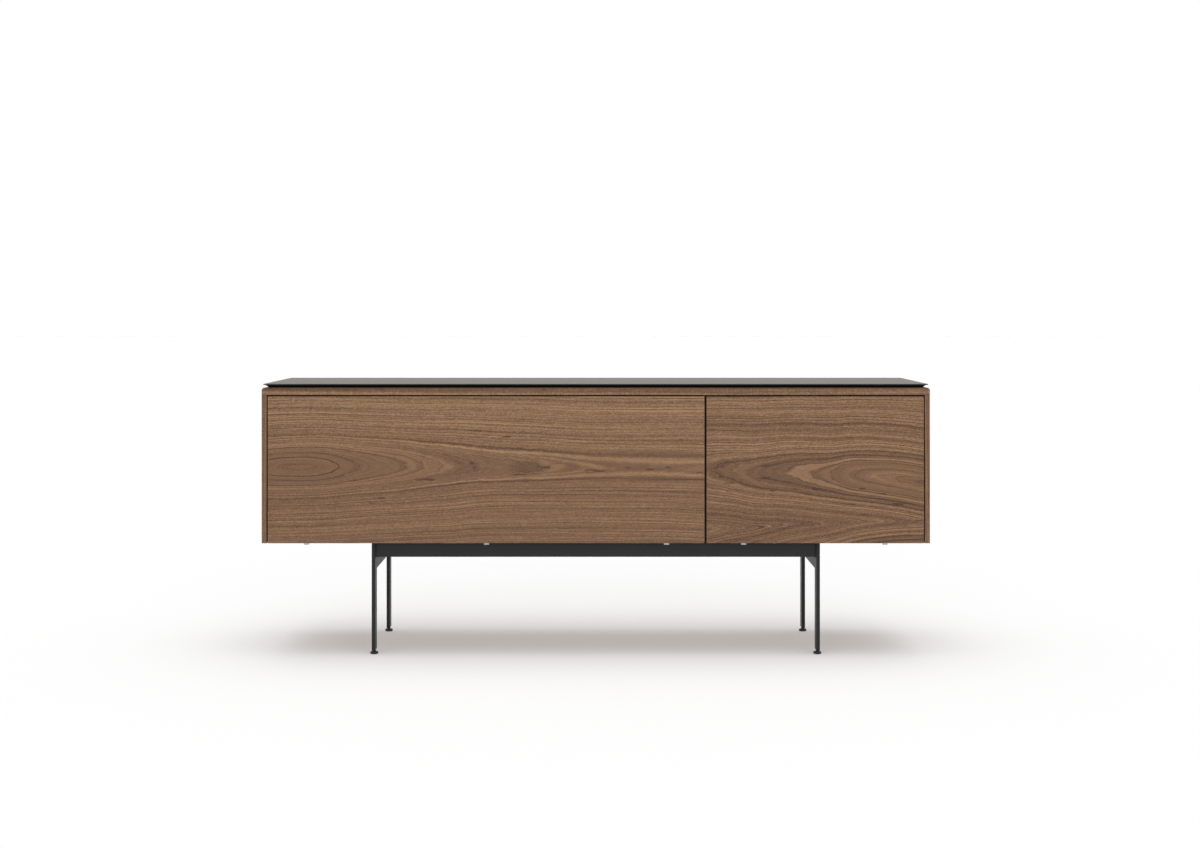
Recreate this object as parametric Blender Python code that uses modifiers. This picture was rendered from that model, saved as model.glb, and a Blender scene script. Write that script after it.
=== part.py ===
"""A low, wide sideboard with two drop-down doors on a flat-bar steel base.

Metres, +Z up. The origin is on the floor under the middle of the sideboard, the front faces -Y
and +X is to the right as seen from the front.
"""

import math

import bmesh
import bpy
from mathutils import Matrix, Vector

# Overall sizes
WIDTH = 1.860
DEPTH = 0.450
BASE_HEIGHT = 0.317
CARCASS_HEIGHT = 0.433

# Clearances
GAP = 0.0003
DOOR_SIDE_GAP = 0.0025
DOOR_TOP_GAP = 0.0032
DOOR_MIDDLE_GAP = 0.0055
DOOR_BACK_GAP = 0.0022

# Carcass boards
SIDE_THICKNESS = 0.014
TOP_THICKNESS = 0.0203
TOP_CORNER_RADIUS = 0.0080
BOTTOM_THICKNESS = 0.016
DIVIDER_THICKNESS = 0.018
DIVIDER_FROM_RIGHT = 0.6246
BACK_THICKNESS = 0.008
BACK_REBATE = 0.007
SHELF_THICKNESS = 0.016
LOWER_BAY_HEIGHT = 0.146
SHELF_FRONT_SETBACK = 0.075
SHELF_GROOVE_DEPTH = 0.005
BOARD_EDGE = 0.0006
DOOR_THICKNESS = 0.019
DOOR_EDGE = 0.0008

# Cover plate on its recessed spacer
PLATE_THICKNESS = 0.003
PLATE_INSET = 0.004
SPACER_HEIGHT = 0.007
SPACER_TOP_INSET = 0.0050
SPACER_SLOPE = 0.009

# Steel base
BAR_THICKNESS = 0.010
BAR_DEPTH = 0.040
BAR_EDGE = 0.0010
LEG_INSET_SIDE = 0.302
LEG_INSET_FRONT = 0.0315
RAIL_HEIGHT = 0.0795
RAIL_FLANGE_WIDTH = 0.030
RAIL_FLANGE_THICKNESS = 0.004
RAIL_HOLE_RADIUS = 0.0025
RAIL_HOLE_END = 0.035
BEAM_HEIGHT = 0.040
BEAM_DEPTH = 0.020
BEAM_WALL = 0.002
BEAM_RADIUS = 0.0025
BEAM_TAB_LENGTH = 0.040
BEAM_TAB_DEPTH = 0.010
BEAM_TAB_HEIGHT = 0.0037
BEAM_TAB_END = 0.118

# Levelling feet
FOOT_RADIUS = 0.0112
FOOT_DISC_HEIGHT = 0.0065
FOOT_FILLET = 0.0018
FOOT_NECK_RADIUS = 0.0045
FOOT_NECK_HEIGHT = 0.0047
FOOT_STUD_RADIUS = 0.003
FOOT_STUD_LENGTH = 0.025
FOOT_BORE_CLEARANCE = 0.0004
FOOT_BORE_SPARE = 0.005

# Flap hinges
HINGE_INSET = 0.105
HINGE_WIDTH = 0.014
KNUCKLE_RADIUS = 0.0035
HINGE_PIN_RADIUS = 0.00175
HINGE_BORE_CLEARANCE = 0.00035
DOOR_KNUCKLE_WIDTH = 0.005
LEAF_THICKNESS = 0.0015
LEAF_WIDTH = 0.030
LEAF_LENGTH = 0.045
LEAF_SHOULDER = 0.0007
LEAF_HOLE_RADIUS = 0.002
LEAF_HOLE_SPACING = 0.018
LEAF_HOLE_END = 0.009

# Brake stays, with X counted from the board that each one is screwed to
STAY_RISE = 0.028
STAY_SETBACK = 0.045
STAY_EYE_STANDOFF = 0.0145
STAY_PLATE_THICKNESS = 0.002
STAY_PLATE_LENGTH = 0.036
STAY_PLATE_ABOVE = 0.028
STAY_PLATE_BELOW = 0.014
STAY_PLATE_HOLE_RADIUS = 0.002
STAY_PLATE_HOLE_SPACING = 0.018
STAY_PLATE_HOLE_RISE = 0.021
STAY_PIVOT_CLEARANCE = 0.0006
STAY_BOSS_RADIUS = 0.005
STAY_BOSS_HEIGHT = 0.0045
STAY_BODY_LENGTH = 0.040
STAY_BODY_HEIGHT = 0.020
STAY_BODY_THICKNESS = 0.0148
STAY_BODY_WALL = 0.0012
STAY_BODY_EDGE = 0.0012
STAY_SCREW_RADIUS = 0.004
STAY_SCREW_HEIGHT = 0.0045
STAY_ROD_RADIUS = 0.003
STAY_ROD_CLEARANCE = 0.0005
STAY_EYE_RADIUS = 0.0055
STAY_STOP_RADIUS = 0.0048
STAY_STOP_LENGTH = 0.006
STAY_EAR_THICKNESS = 0.002
STAY_EAR_RADIUS = 0.006
STAY_FLANGE_WIDTH = 0.018
STAY_FLANGE_HEIGHT = 0.044
STAY_FLANGE_HOLE_SPACING = 0.030
STAY_RIVET_HEIGHT = 0.002

# Push latches under the top board
LATCH_SETBACK = 0.016
LATCH_LENGTH = 0.060
LATCH_WIDTH = 0.020
LATCH_HEIGHT = 0.020
LATCH_EDGE = 0.0015
LATCH_EAR_WIDTH = 0.010
LATCH_EAR_LENGTH = 0.014
LATCH_EAR_THICKNESS = 0.003
LATCH_EAR_HOLE_RADIUS = 0.002
LATCH_BORE_DEPTH = 0.026
LATCH_BORE_CLEARANCE = 0.0004
PLUNGER_RADIUS = 0.004
PLUNGER_TIP_FILLET = 0.001
PLUNGER_TRAVEL = 0.0035
STRIKER_THICKNESS = 0.001
STRIKER_RADIUS = 0.0065

# Facets
PIN_SIDES = 16
ROD_SIDES = 12
FOOT_STEPS = 20
FILLET_STEPS = 2
CORNER_STEPS = 6

# Heights and depths that follow from the sizes above
FRONT = -DEPTH / 2
REAR = DEPTH / 2
CARCASS_TOP = BASE_HEIGHT + CARCASS_HEIGHT
TOP_UNDERSIDE = CARCASS_TOP - TOP_THICKNESS
BOTTOM_TOP = BASE_HEIGHT + BOTTOM_THICKNESS
SIDE_INNER = WIDTH / 2 - SIDE_THICKNESS
DOOR_BACK = FRONT + DOOR_THICKNESS
BOARD_FRONT = DOOR_BACK + DOOR_BACK_GAP
BACK_FACE = REAR - BACK_THICKNESS
DOOR_TOP = TOP_UNDERSIDE - DOOR_TOP_GAP
DIVIDER_X = WIDTH / 2 - DIVIDER_FROM_RIGHT
DIVIDER_LEFT = DIVIDER_X - DIVIDER_THICKNESS / 2
DIVIDER_RIGHT = DIVIDER_X + DIVIDER_THICKNESS / 2
SHELF_TOP = BOTTOM_TOP + LOWER_BAY_HEIGHT + SHELF_THICKNESS
SHELF_FRONT = FRONT + SHELF_FRONT_SETBACK

# Hinge axis, tucked under the joint between the doors and the bottom board
HINGE_Y = DOOR_BACK + GAP + KNUCKLE_RADIUS
HINGE_Z = BASE_HEIGHT - GAP - KNUCKLE_RADIUS
HINGE_BORE_RADIUS = HINGE_PIN_RADIUS + HINGE_BORE_CLEARANCE

# Legs
LEG_OUTER = WIDTH / 2 - LEG_INSET_SIDE
LEG_INNER = LEG_OUTER - BAR_THICKNESS
LEG_FRONT = FRONT + LEG_INSET_FRONT
BASE_TOP = BASE_HEIGHT - GAP
LEG_BOTTOM = FOOT_DISC_HEIGHT + FOOT_NECK_HEIGHT + GAP
FOOT_Y = LEG_FRONT + BAR_DEPTH / 2

# Door spans: (left edge, right edge) of each door, and the boards beside it
DOORS = {
    "left": (-SIDE_INNER + DOOR_SIDE_GAP, DIVIDER_X - DOOR_MIDDLE_GAP / 2),
    "right": (DIVIDER_X + DOOR_MIDDLE_GAP / 2, SIDE_INNER - DOOR_SIDE_GAP),
}
BAYS = {
    "left": (-SIDE_INNER, DIVIDER_LEFT),
    "right": (DIVIDER_RIGHT, SIDE_INNER),
}

# The ends of each door that have a stay, and the names of its evenly spaced hinges
STAYS = {"left": ("left", "right"), "right": ("right",)}
HINGES = {"left": ("left", "middle", "right"), "right": ("left", "right")}

# Stay pivots in the side view: on the carcass, and at the rod's eye with the door closed
STAY_PIVOT_Y = HINGE_Y + STAY_SETBACK
STAY_PIVOT_Z = SHELF_TOP + STAY_RISE
EYE_Y = DOOR_BACK + STAY_EYE_STANDOFF
EYE_Z = STAY_PIVOT_Z

# Stay layers, counted from the face of the board that carries the stay
STAY_BOSS_END = GAP + STAY_PLATE_THICKNESS + STAY_BOSS_HEIGHT
STAY_BODY_START = 2 * GAP + STAY_PLATE_THICKNESS
STAY_BODY_END = STAY_BODY_START + STAY_BODY_THICKNESS
STAY_ROD_BORE = STAY_ROD_RADIUS + STAY_ROD_CLEARANCE
STAY_ROD_X = STAY_BOSS_END + GAP + STAY_BODY_WALL + STAY_ROD_BORE
STAY_EYE_END = STAY_ROD_X + STAY_ROD_RADIUS + GAP
STAY_EAR_START = STAY_EYE_END + GAP

FINISHES = {
    "walnut": ((0.227, 0.133, 0.080), 0.45, 0.0),
    "inner_board": ((0.200, 0.115, 0.068), 0.55, 0.0),
    "cover": ((0.098, 0.078, 0.061), 0.45, 0.0),
    "black": ((0.008, 0.008, 0.008), 0.60, 0.0),
    "base_steel": ((0.028, 0.028, 0.029), 0.45, 0.4),
    "foot": ((0.015, 0.015, 0.015), 0.55, 0.0),
    "hinge_steel": ((0.550, 0.550, 0.560), 0.30, 1.0),
    "pin_steel": ((0.450, 0.450, 0.460), 0.35, 1.0),
    "latch_plastic": ((0.500, 0.500, 0.490), 0.45, 0.0),
}


def clear_scene():
    for obj in list(bpy.data.objects):
        bpy.data.objects.remove(obj, do_unlink=True)


def new_collection(name):
    collection = bpy.data.collections.new(name)
    bpy.context.scene.collection.children.link(collection)
    return collection


def material(name, finish):
    """The node's own Principled material in one of the named finishes."""
    colour, roughness, metallic = FINISHES[finish]
    made = bpy.data.materials.new(name)
    made.use_nodes = True
    shader = made.node_tree.nodes["Principled BSDF"]
    shader.inputs["Base Color"].default_value = (*colour, 1.0)
    shader.inputs["Roughness"].default_value = roughness
    shader.inputs["Metallic"].default_value = metallic
    made.diffuse_color = (*colour, 1.0)
    return made


def add_object(name, mesh_or_curve, place, finish):
    """Links a new object: a part if it has a finish, or else a hidden cutter."""
    obj = bpy.data.objects.new(name, mesh_or_curve)
    obj.location = place
    if finish:
        obj.data.materials.append(material(name, finish))
        PARTS.objects.link(obj)
    else:
        obj.hide_render = True
        obj.display_type = "WIRE"
        CUTTERS.objects.link(obj)
    return obj


def evaluated_mesh(guide):
    """The mesh that a guide's curve or modifiers make. The guide itself is removed."""
    PARTS.objects.link(guide)
    graph = bpy.context.evaluated_depsgraph_get()
    mesh = bpy.data.meshes.new_from_object(guide.evaluated_get(graph))
    bpy.data.objects.remove(guide, do_unlink=True)
    return mesh


def mesh_from(bm, name):
    mesh = bpy.data.meshes.new(name)
    bm.to_mesh(mesh)
    bm.free()
    return mesh


def bevel(obj, width, segments):
    modifier = obj.modifiers.new("rounded_edges", "BEVEL")
    modifier.width = width
    modifier.segments = segments
    modifier.limit_method = "ANGLE"
    modifier.angle_limit = math.radians(40)


def box(name, low, high, finish=None, edge=0.0, edge_segments=2):
    """A board, block or box-shaped cutter between two corners, with its edges rounded if asked."""
    low = Vector(low)
    high = Vector(high)
    bm = bmesh.new()
    bmesh.ops.create_cube(bm, size=1.0, matrix=Matrix.Diagonal((*(high - low), 1.0)))
    obj = add_object(name, mesh_from(bm, name), (low + high) / 2, finish)
    if edge:
        bevel(obj, edge, edge_segments)
    return obj


def cylinder(name, radius, start, end, finish=None, sides=PIN_SIDES):
    """A round bar or a round cutter between two points."""
    start = Vector(start)
    end = Vector(end)
    along = end - start
    turn = Vector((0.0, 0.0, 1.0)).rotation_difference(along).to_matrix().to_4x4()
    bm = bmesh.new()
    bmesh.ops.create_cone(
        bm,
        cap_ends=True,
        segments=sides,
        radius1=radius,
        radius2=radius,
        depth=along.length,
        matrix=turn,
    )
    obj = add_object(name, mesh_from(bm, name), (start + end) / 2, finish)
    smooth(obj)
    return obj


def turned(name, profile, place, finish, steps=FOOT_STEPS):
    """A turned piece from its (radius, height) profile, listed from its top down."""
    bm = bmesh.new()
    points = [bm.verts.new((radius, 0.0, height)) for radius, height in profile]
    for upper, lower in zip(points, points[1:]):
        bm.edges.new((upper, lower))
    guide = bpy.data.objects.new(name + "_profile", mesh_from(bm, name + "_profile"))
    screw = guide.modifiers.new("turn", "SCREW")
    screw.axis = "Z"
    screw.steps = steps
    screw.render_steps = steps
    screw.use_merge_vertices = True
    screw.merge_threshold = 0.00001
    obj = add_object(name, evaluated_mesh(guide), place, finish)
    smooth(obj)
    return obj


def outline_plate(name, outline, thickness, place, turn, finish):
    """A flat plate cut to an outline, as a filled 2D curve turned and then made a mesh."""
    curve = bpy.data.curves.new(name + "_outline", "CURVE")
    curve.dimensions = "2D"
    curve.fill_mode = "BOTH"
    curve.extrude = thickness / 2
    for ring in outline:
        spline = curve.splines.new("POLY")
        spline.points.add(len(ring) - 1)
        for point, (x, y) in zip(spline.points, ring):
            point.co = (x, y, 0.0, 1.0)
        spline.use_cyclic_u = True
    mesh = evaluated_mesh(bpy.data.objects.new(name + "_outline", curve))
    bm = bmesh.new()
    bm.from_mesh(mesh)
    bmesh.ops.remove_doubles(bm, verts=bm.verts, dist=0.00001)
    bm.transform(turn)
    bm.to_mesh(mesh)
    bm.free()
    mesh.materials.clear()
    return add_object(name, mesh, place, finish)


def smooth(obj):
    obj.data.shade_smooth()
    obj.data.set_sharp_from_angle(angle=math.radians(35))


def boolean(obj, other, operation):
    """Adds or removes a hidden helper, which then moves with the object."""
    modifier = obj.modifiers.new(other.name, "BOOLEAN")
    modifier.operation = operation
    modifier.solver = "EXACT"
    modifier.object = other
    other.location -= obj.location
    other.parent = obj


def cut(obj, *cutters):
    for cutter in cutters:
        boolean(obj, cutter, "DIFFERENCE")


def join(obj, *others):
    for other in others:
        boolean(obj, other, "UNION")


def axis_empty(name, place, parent=None):
    """The empty on a joint's axis that its moving pieces hang from."""
    empty = bpy.data.objects.new(name, None)
    empty.empty_display_size = 0.03
    PARTS.objects.link(empty)
    empty.location = place
    if parent:
        empty.location -= parent.location
        empty.parent = parent
    return empty


def carry(empty, place, *pieces):
    """Hangs pieces, made in world places, from an empty that stands at the given place."""
    for piece in pieces:
        piece.location -= Vector(place)
        piece.parent = empty


def arc(centre, radius, start, end, steps=FILLET_STEPS):
    """Points on an arc in a plane, with angles in degrees and both ends included."""
    x, y = centre
    turns = [math.radians(start + (end - start) * i / steps) for i in range(steps + 1)]
    return [(x + radius * math.cos(t), y + radius * math.sin(t)) for t in turns]


def rounded_rectangle(width, height, radius):
    x = width / 2 - radius
    y = height / 2 - radius
    corners = (((x, y), 0), ((-x, y), 90), ((-x, -y), 180), ((x, -y), 270))
    return [point for centre, turn in corners for point in arc(centre, radius, turn, turn + 90)]


# A plate drawn in its own XY plane is turned so that its drawing's X runs back along +Y and its
# drawing's Y runs up along +Z
UPRIGHT = Matrix(((0, 0, 1, 0), (1, 0, 0, 0), (0, 1, 0, 0), (0, 0, 0, 1)))

# The same for a drawing whose X runs along +X and whose Y runs up, pointing back along +Y
FACING = Matrix(((1, 0, 0, 0), (0, 0, -1, 0), (0, 1, 0, 0), (0, 0, 0, 1)))


def make_top_board():
    """The top lies over both sides, with its two long upper corners rounded."""
    half = WIDTH / 2
    radius = TOP_CORNER_RADIUS
    outline = [(-half, 0.0), (half, 0.0)]
    rise = TOP_THICKNESS - radius
    outline += arc((half - radius, rise), radius, 0, 90, CORNER_STEPS)
    outline += arc((-half + radius, rise), radius, 90, 180, CORNER_STEPS)
    board = outline_plate(
        "top_board", [outline], DEPTH, (0.0, 0.0, TOP_UNDERSIDE), FACING, "walnut"
    )
    smooth(board)
    rebate = box(
        "top_back_rebate",
        (-SIDE_INNER - BACK_REBATE, BACK_FACE - GAP, TOP_UNDERSIDE - BOARD_EDGE),
        (SIDE_INNER + BACK_REBATE, REAR + BOARD_EDGE, TOP_UNDERSIDE + BACK_REBATE),
    )
    cut(board, rebate)


def make_sides():
    for name, side in (("left", -1), ("right", 1)):
        inner, outer = sorted((side * SIDE_INNER, side * WIDTH / 2), key=abs)
        board = box(
            name + "_side",
            (min(inner, outer), FRONT, BASE_HEIGHT),
            (max(inner, outer), REAR, TOP_UNDERSIDE - GAP),
            "walnut",
            BOARD_EDGE,
        )
        deep = inner + side * BACK_REBATE
        clear = inner - side * BOARD_EDGE
        rebate = box(
            name + "_side_back_rebate",
            (min(deep, clear), BACK_FACE - GAP, BASE_HEIGHT - BOARD_EDGE),
            (max(deep, clear), REAR + BOARD_EDGE, CARCASS_TOP),
        )
        cut(board, rebate, shelf_groove(name + "_side_groove", inner, side))


def shelf_groove(name, face, away):
    """The stopped housing that a shelf's end slides into from behind."""
    deep = face + away * SHELF_GROOVE_DEPTH
    clear = face - away * BOARD_EDGE
    return box(
        name,
        (min(deep, clear), SHELF_FRONT - GAP, SHELF_TOP - SHELF_THICKNESS - GAP),
        (max(deep, clear), REAR + BOARD_EDGE, SHELF_TOP + GAP),
    )


def make_bottom_panel():
    box(
        "bottom_panel",
        (-SIDE_INNER + GAP, BOARD_FRONT, BASE_HEIGHT),
        (SIDE_INNER - GAP, BACK_FACE - GAP, BOTTOM_TOP),
        "inner_board",
        BOARD_EDGE,
        1,
    )


def make_divider():
    board = box(
        "divider",
        (DIVIDER_LEFT, BOARD_FRONT, BOTTOM_TOP + GAP),
        (DIVIDER_RIGHT, BACK_FACE - GAP, TOP_UNDERSIDE - GAP),
        "inner_board",
        BOARD_EDGE,
        1,
    )
    cut(
        board,
        shelf_groove("divider_left_groove", DIVIDER_LEFT, 1),
        shelf_groove("divider_right_groove", DIVIDER_RIGHT, -1),
    )


def make_backs():
    """Two back panels that meet on the middle of the divider's rear edge."""
    outer = SIDE_INNER + BACK_REBATE - GAP
    spans = {"left": (-outer, DIVIDER_X - GAP / 2), "right": (DIVIDER_X + GAP / 2, outer)}
    for name, (low, high) in spans.items():
        box(
            name + "_back",
            (low, BACK_FACE, BASE_HEIGHT),
            (high, REAR, TOP_UNDERSIDE + BACK_REBATE - GAP),
            "inner_board",
            BOARD_EDGE / 2,
            1,
        )


def make_shelves():
    for name, (low, high) in BAYS.items():
        reach = SHELF_GROOVE_DEPTH - GAP
        box(
            name + "_shelf",
            (low - reach, SHELF_FRONT, SHELF_TOP - SHELF_THICKNESS),
            (high + reach, BACK_FACE - GAP, SHELF_TOP),
            "inner_board",
            BOARD_EDGE / 2,
            1,
        )


def make_cover():
    """The thin cover plate, and the black spacer under it whose sides slope inward to its foot."""
    foot = CARCASS_TOP + GAP
    top = foot + SPACER_HEIGHT
    x = WIDTH / 2 - PLATE_INSET
    y = DEPTH / 2 - PLATE_INSET
    box(
        "top_plate",
        (-x, -y, top + GAP),
        (x, y, top + GAP + PLATE_THICKNESS),
        "cover",
        BOARD_EDGE,
    )
    spacer_x = x - SPACER_TOP_INSET
    spacer_y = y - SPACER_TOP_INSET
    spacer = box(
        "plate_spacer",
        (-spacer_x, -spacer_y, foot),
        (spacer_x, spacer_y, top),
        "black",
    )
    for vertex in spacer.data.vertices:
        if vertex.co.z < 0:
            vertex.co.x -= math.copysign(SPACER_SLOPE, vertex.co.x)
            vertex.co.y -= math.copysign(SPACER_SLOPE, vertex.co.y)


def make_legs():
    for end, row in (("front", -1), ("rear", 1)):
        for name, side in (("left", -1), ("right", 1)):
            faces = sorted((side * LEG_INNER, side * LEG_OUTER))
            depths = sorted((row * abs(LEG_FRONT), row * (abs(LEG_FRONT) - BAR_DEPTH)))
            leg = box(
                f"{end}_{name}_leg",
                (faces[0], depths[0], LEG_BOTTOM),
                (faces[1], depths[1], BASE_TOP),
                "base_steel",
                BAR_EDGE,
            )
            x = side * (LEG_INNER + LEG_OUTER) / 2
            y = row * abs(FOOT_Y)
            depth = FOOT_STUD_LENGTH + FOOT_BORE_SPARE
            bore = cylinder(
                f"{end}_{name}_stud_bore",
                FOOT_STUD_RADIUS + FOOT_BORE_CLEARANCE,
                (x, y, LEG_BOTTOM - GAP),
                (x, y, LEG_BOTTOM + depth),
            )
            cut(leg, bore)
            make_foot(f"{end}_{name}_foot", x, y)


def make_foot(name, x, y):
    """A turned levelling foot: disc, neck and the stud that screws up into the leg."""
    neck_top = FOOT_DISC_HEIGHT + FOOT_NECK_HEIGHT
    stud_top = neck_top + FOOT_STUD_LENGTH
    ring = FOOT_RADIUS - FOOT_FILLET
    profile = [(0.0, stud_top), (FOOT_STUD_RADIUS, stud_top), (FOOT_STUD_RADIUS, neck_top)]
    profile += [(FOOT_NECK_RADIUS, neck_top), (FOOT_NECK_RADIUS, FOOT_DISC_HEIGHT)]
    profile += arc((ring, FOOT_DISC_HEIGHT - FOOT_FILLET), FOOT_FILLET, 90, 0)
    profile += arc((ring, FOOT_FILLET), FOOT_FILLET, 0, -90)
    profile += [(0.0, 0.0)]
    foot = turned(name, profile, (x, y, 0.0), "foot")
    axis = axis_empty(name + "_axis", (x, y, 0.0))
    carry(axis, (x, y, 0.0), foot)


def make_side_rails():
    """A deep flat bar between each pair of legs, with a flange that is screwed to the carcass."""
    start = LEG_FRONT + BAR_DEPTH + GAP
    for name, side in (("left", -1), ("right", 1)):
        faces = sorted((side * LEG_INNER, side * LEG_OUTER))
        rail = box(
            name + "_side_rail",
            (faces[0], start, BASE_HEIGHT - RAIL_HEIGHT),
            (faces[1], -start, BASE_TOP),
            "base_steel",
            BAR_EDGE,
        )
        tip = side * (LEG_INNER - RAIL_FLANGE_WIDTH)
        root = side * (LEG_INNER + BAR_THICKNESS / 2)
        flange = box(
            name + "_rail_flange",
            (min(tip, root), start, BASE_TOP - RAIL_FLANGE_THICKNESS),
            (max(tip, root), -start, BASE_TOP),
        )
        join(rail, flange)
        x = side * (LEG_INNER - RAIL_FLANGE_WIDTH / 2)
        for number, y in enumerate((start + RAIL_HOLE_END, 0.0, -start - RAIL_HOLE_END)):
            hole = cylinder(
                f"{name}_rail_hole_{number + 1}",
                RAIL_HOLE_RADIUS,
                (x, y, BASE_TOP - RAIL_FLANGE_THICKNESS - GAP),
                (x, y, BASE_TOP + GAP),
            )
            cut(rail, hole)


def make_beams():
    """Two rectangular tubes between the legs, with tabs welded on their tops up to the carcass."""
    half = LEG_INNER - GAP
    top = BASE_TOP - BEAM_TAB_HEIGHT
    inner_radius = BEAM_RADIUS - BEAM_WALL
    outline = [
        rounded_rectangle(BEAM_DEPTH, BEAM_HEIGHT, BEAM_RADIUS),
        rounded_rectangle(
            BEAM_DEPTH - 2 * BEAM_WALL, BEAM_HEIGHT - 2 * BEAM_WALL, inner_radius
        ),
    ]
    for name, row in (("front", -1), ("rear", 1)):
        y = row * abs(FOOT_Y)
        place = (0.0, y, top - BEAM_HEIGHT / 2)
        beam = outline_plate(
            name + "_beam", outline, 2 * half, place, UPRIGHT, "base_steel"
        )
        for number, x in enumerate((BEAM_TAB_END - half, 0.0, half - BEAM_TAB_END)):
            tab = box(
                f"{name}_beam_tab_{number + 1}",
                (x - BEAM_TAB_LENGTH / 2, y - BEAM_TAB_DEPTH / 2, top - BEAM_WALL / 2),
                (x + BEAM_TAB_LENGTH / 2, y + BEAM_TAB_DEPTH / 2, BASE_TOP),
            )
            join(beam, tab)


def make_doors():
    """The two flaps, each hung from an empty on its hinge axis, with what they carry."""
    for name, (low, high) in DOORS.items():
        place = ((low + high) / 2, HINGE_Y, HINGE_Z)
        axis = axis_empty(name + "_door_axis", place)
        door = box(
            name + "_door",
            (low, FRONT, BASE_HEIGHT),
            (high, DOOR_BACK, DOOR_TOP),
            "walnut",
            DOOR_EDGE,
        )
        carry(axis, place, door, *make_hinges(name, low, high))
        carry(axis, place, *make_stays(name), make_latch(name, (low + high) / 2))


def make_hinges(name, low, high):
    """Spaces a door's hinges evenly, and returns the leaves that turn with the door."""
    places = HINGES[name]
    step = (high - low - 2 * HINGE_INSET) / (len(places) - 1)
    return [
        make_hinge(f"{name}_hinge_{place}", low + HINGE_INSET + number * step)
        for number, place in enumerate(places)
    ]


def leaf_holes(name, x, at, along, through):
    """Screw holes in a leaf: at is the hinge's place, along runs up the leaf, through goes across."""
    holes = []
    for number, side in enumerate((-1, 1)):
        centre = Vector((x + side * LEAF_HOLE_SPACING / 2, *at))
        centre += (LEAF_LENGTH - LEAF_HOLE_END) * Vector(along)
        reach = (KNUCKLE_RADIUS + GAP) * Vector(through)
        holes.append(
            cylinder(f"{name}_hole_{number + 1}", LEAF_HOLE_RADIUS, centre - reach, centre + reach)
        )
    return holes


def make_hinge(name, x):
    """A three-knuckle flap hinge: one leaf under the bottom board, one up the door's back."""
    axis_place = (HINGE_Y, HINGE_Z)
    half = HINGE_WIDTH / 2
    slot = DOOR_KNUCKLE_WIDTH / 2 + GAP
    shoulder = KNUCKLE_RADIUS + LEAF_SHOULDER
    leaf_z = HINGE_Z + KNUCKLE_RADIUS - LEAF_THICKNESS

    cabinet_leaf = cylinder(
        name + "_cabinet_leaf",
        KNUCKLE_RADIUS,
        (x - half, *axis_place),
        (x + half, *axis_place),
        "hinge_steel",
    )
    neck = box(
        name + "_cabinet_neck",
        (x - half, HINGE_Y, leaf_z),
        (x + half, HINGE_Y + shoulder + LEAF_THICKNESS, leaf_z + LEAF_THICKNESS),
    )
    plate = box(
        name + "_cabinet_plate",
        (x - LEAF_WIDTH / 2, HINGE_Y + shoulder, leaf_z),
        (x + LEAF_WIDTH / 2, HINGE_Y + LEAF_LENGTH, leaf_z + LEAF_THICKNESS),
    )
    join(cabinet_leaf, neck, plate)
    reach = shoulder + GAP
    notch = box(
        name + "_cabinet_notch",
        (x - slot, HINGE_Y - reach, HINGE_Z - reach),
        (x + slot, HINGE_Y + reach, HINGE_Z + reach),
    )
    bore = cylinder(
        name + "_cabinet_bore",
        HINGE_BORE_RADIUS,
        (x - half - GAP, *axis_place),
        (x + half + GAP, *axis_place),
    )
    cut(cabinet_leaf, notch, bore)
    cut(cabinet_leaf, *leaf_holes(name + "_cabinet", x, axis_place, (0, 1, 0), (0, 0, 1)))

    knuckle = DOOR_KNUCKLE_WIDTH / 2
    leaf_y = HINGE_Y - KNUCKLE_RADIUS
    door_leaf = cylinder(
        name + "_door_leaf",
        KNUCKLE_RADIUS,
        (x - knuckle, *axis_place),
        (x + knuckle, *axis_place),
        "hinge_steel",
    )
    neck = box(
        name + "_door_neck",
        (x - knuckle, leaf_y, HINGE_Z),
        (x + knuckle, leaf_y + LEAF_THICKNESS, HINGE_Z + shoulder + LEAF_THICKNESS),
    )
    plate = box(
        name + "_door_plate",
        (x - LEAF_WIDTH / 2, leaf_y, HINGE_Z + shoulder),
        (x + LEAF_WIDTH / 2, leaf_y + LEAF_THICKNESS, HINGE_Z + LEAF_LENGTH),
    )
    join(door_leaf, neck, plate)
    bore = cylinder(
        name + "_door_bore",
        HINGE_BORE_RADIUS,
        (x - half, *axis_place),
        (x + half, *axis_place),
    )
    cut(door_leaf, bore)
    cut(door_leaf, *leaf_holes(name + "_door", x, axis_place, (0, 0, 1), (0, 1, 0)))

    cylinder(
        name + "_pin",
        HINGE_PIN_RADIUS,
        (x - half, *axis_place),
        (x + half, *axis_place),
        "pin_steel",
    )
    return door_leaf


def make_stays(name):
    """Makes each brake stay of a door, and returns the brackets that turn with the door."""
    low, high = BAYS[name]
    boards = {"left": (low, 1), "right": (high, -1)}
    return [make_stay(f"{name}_stay_{end}", *boards[end]) for end in STAYS[name]]


def stay_open_reach():
    """The distance from the carcass pivot to the rod's eye with the door lying open."""
    eye_y = HINGE_Y - (EYE_Z - HINGE_Z)
    eye_z = HINGE_Z + (EYE_Y - HINGE_Y)
    return math.hypot(STAY_PIVOT_Y - eye_y, STAY_PIVOT_Z - eye_z)


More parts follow.
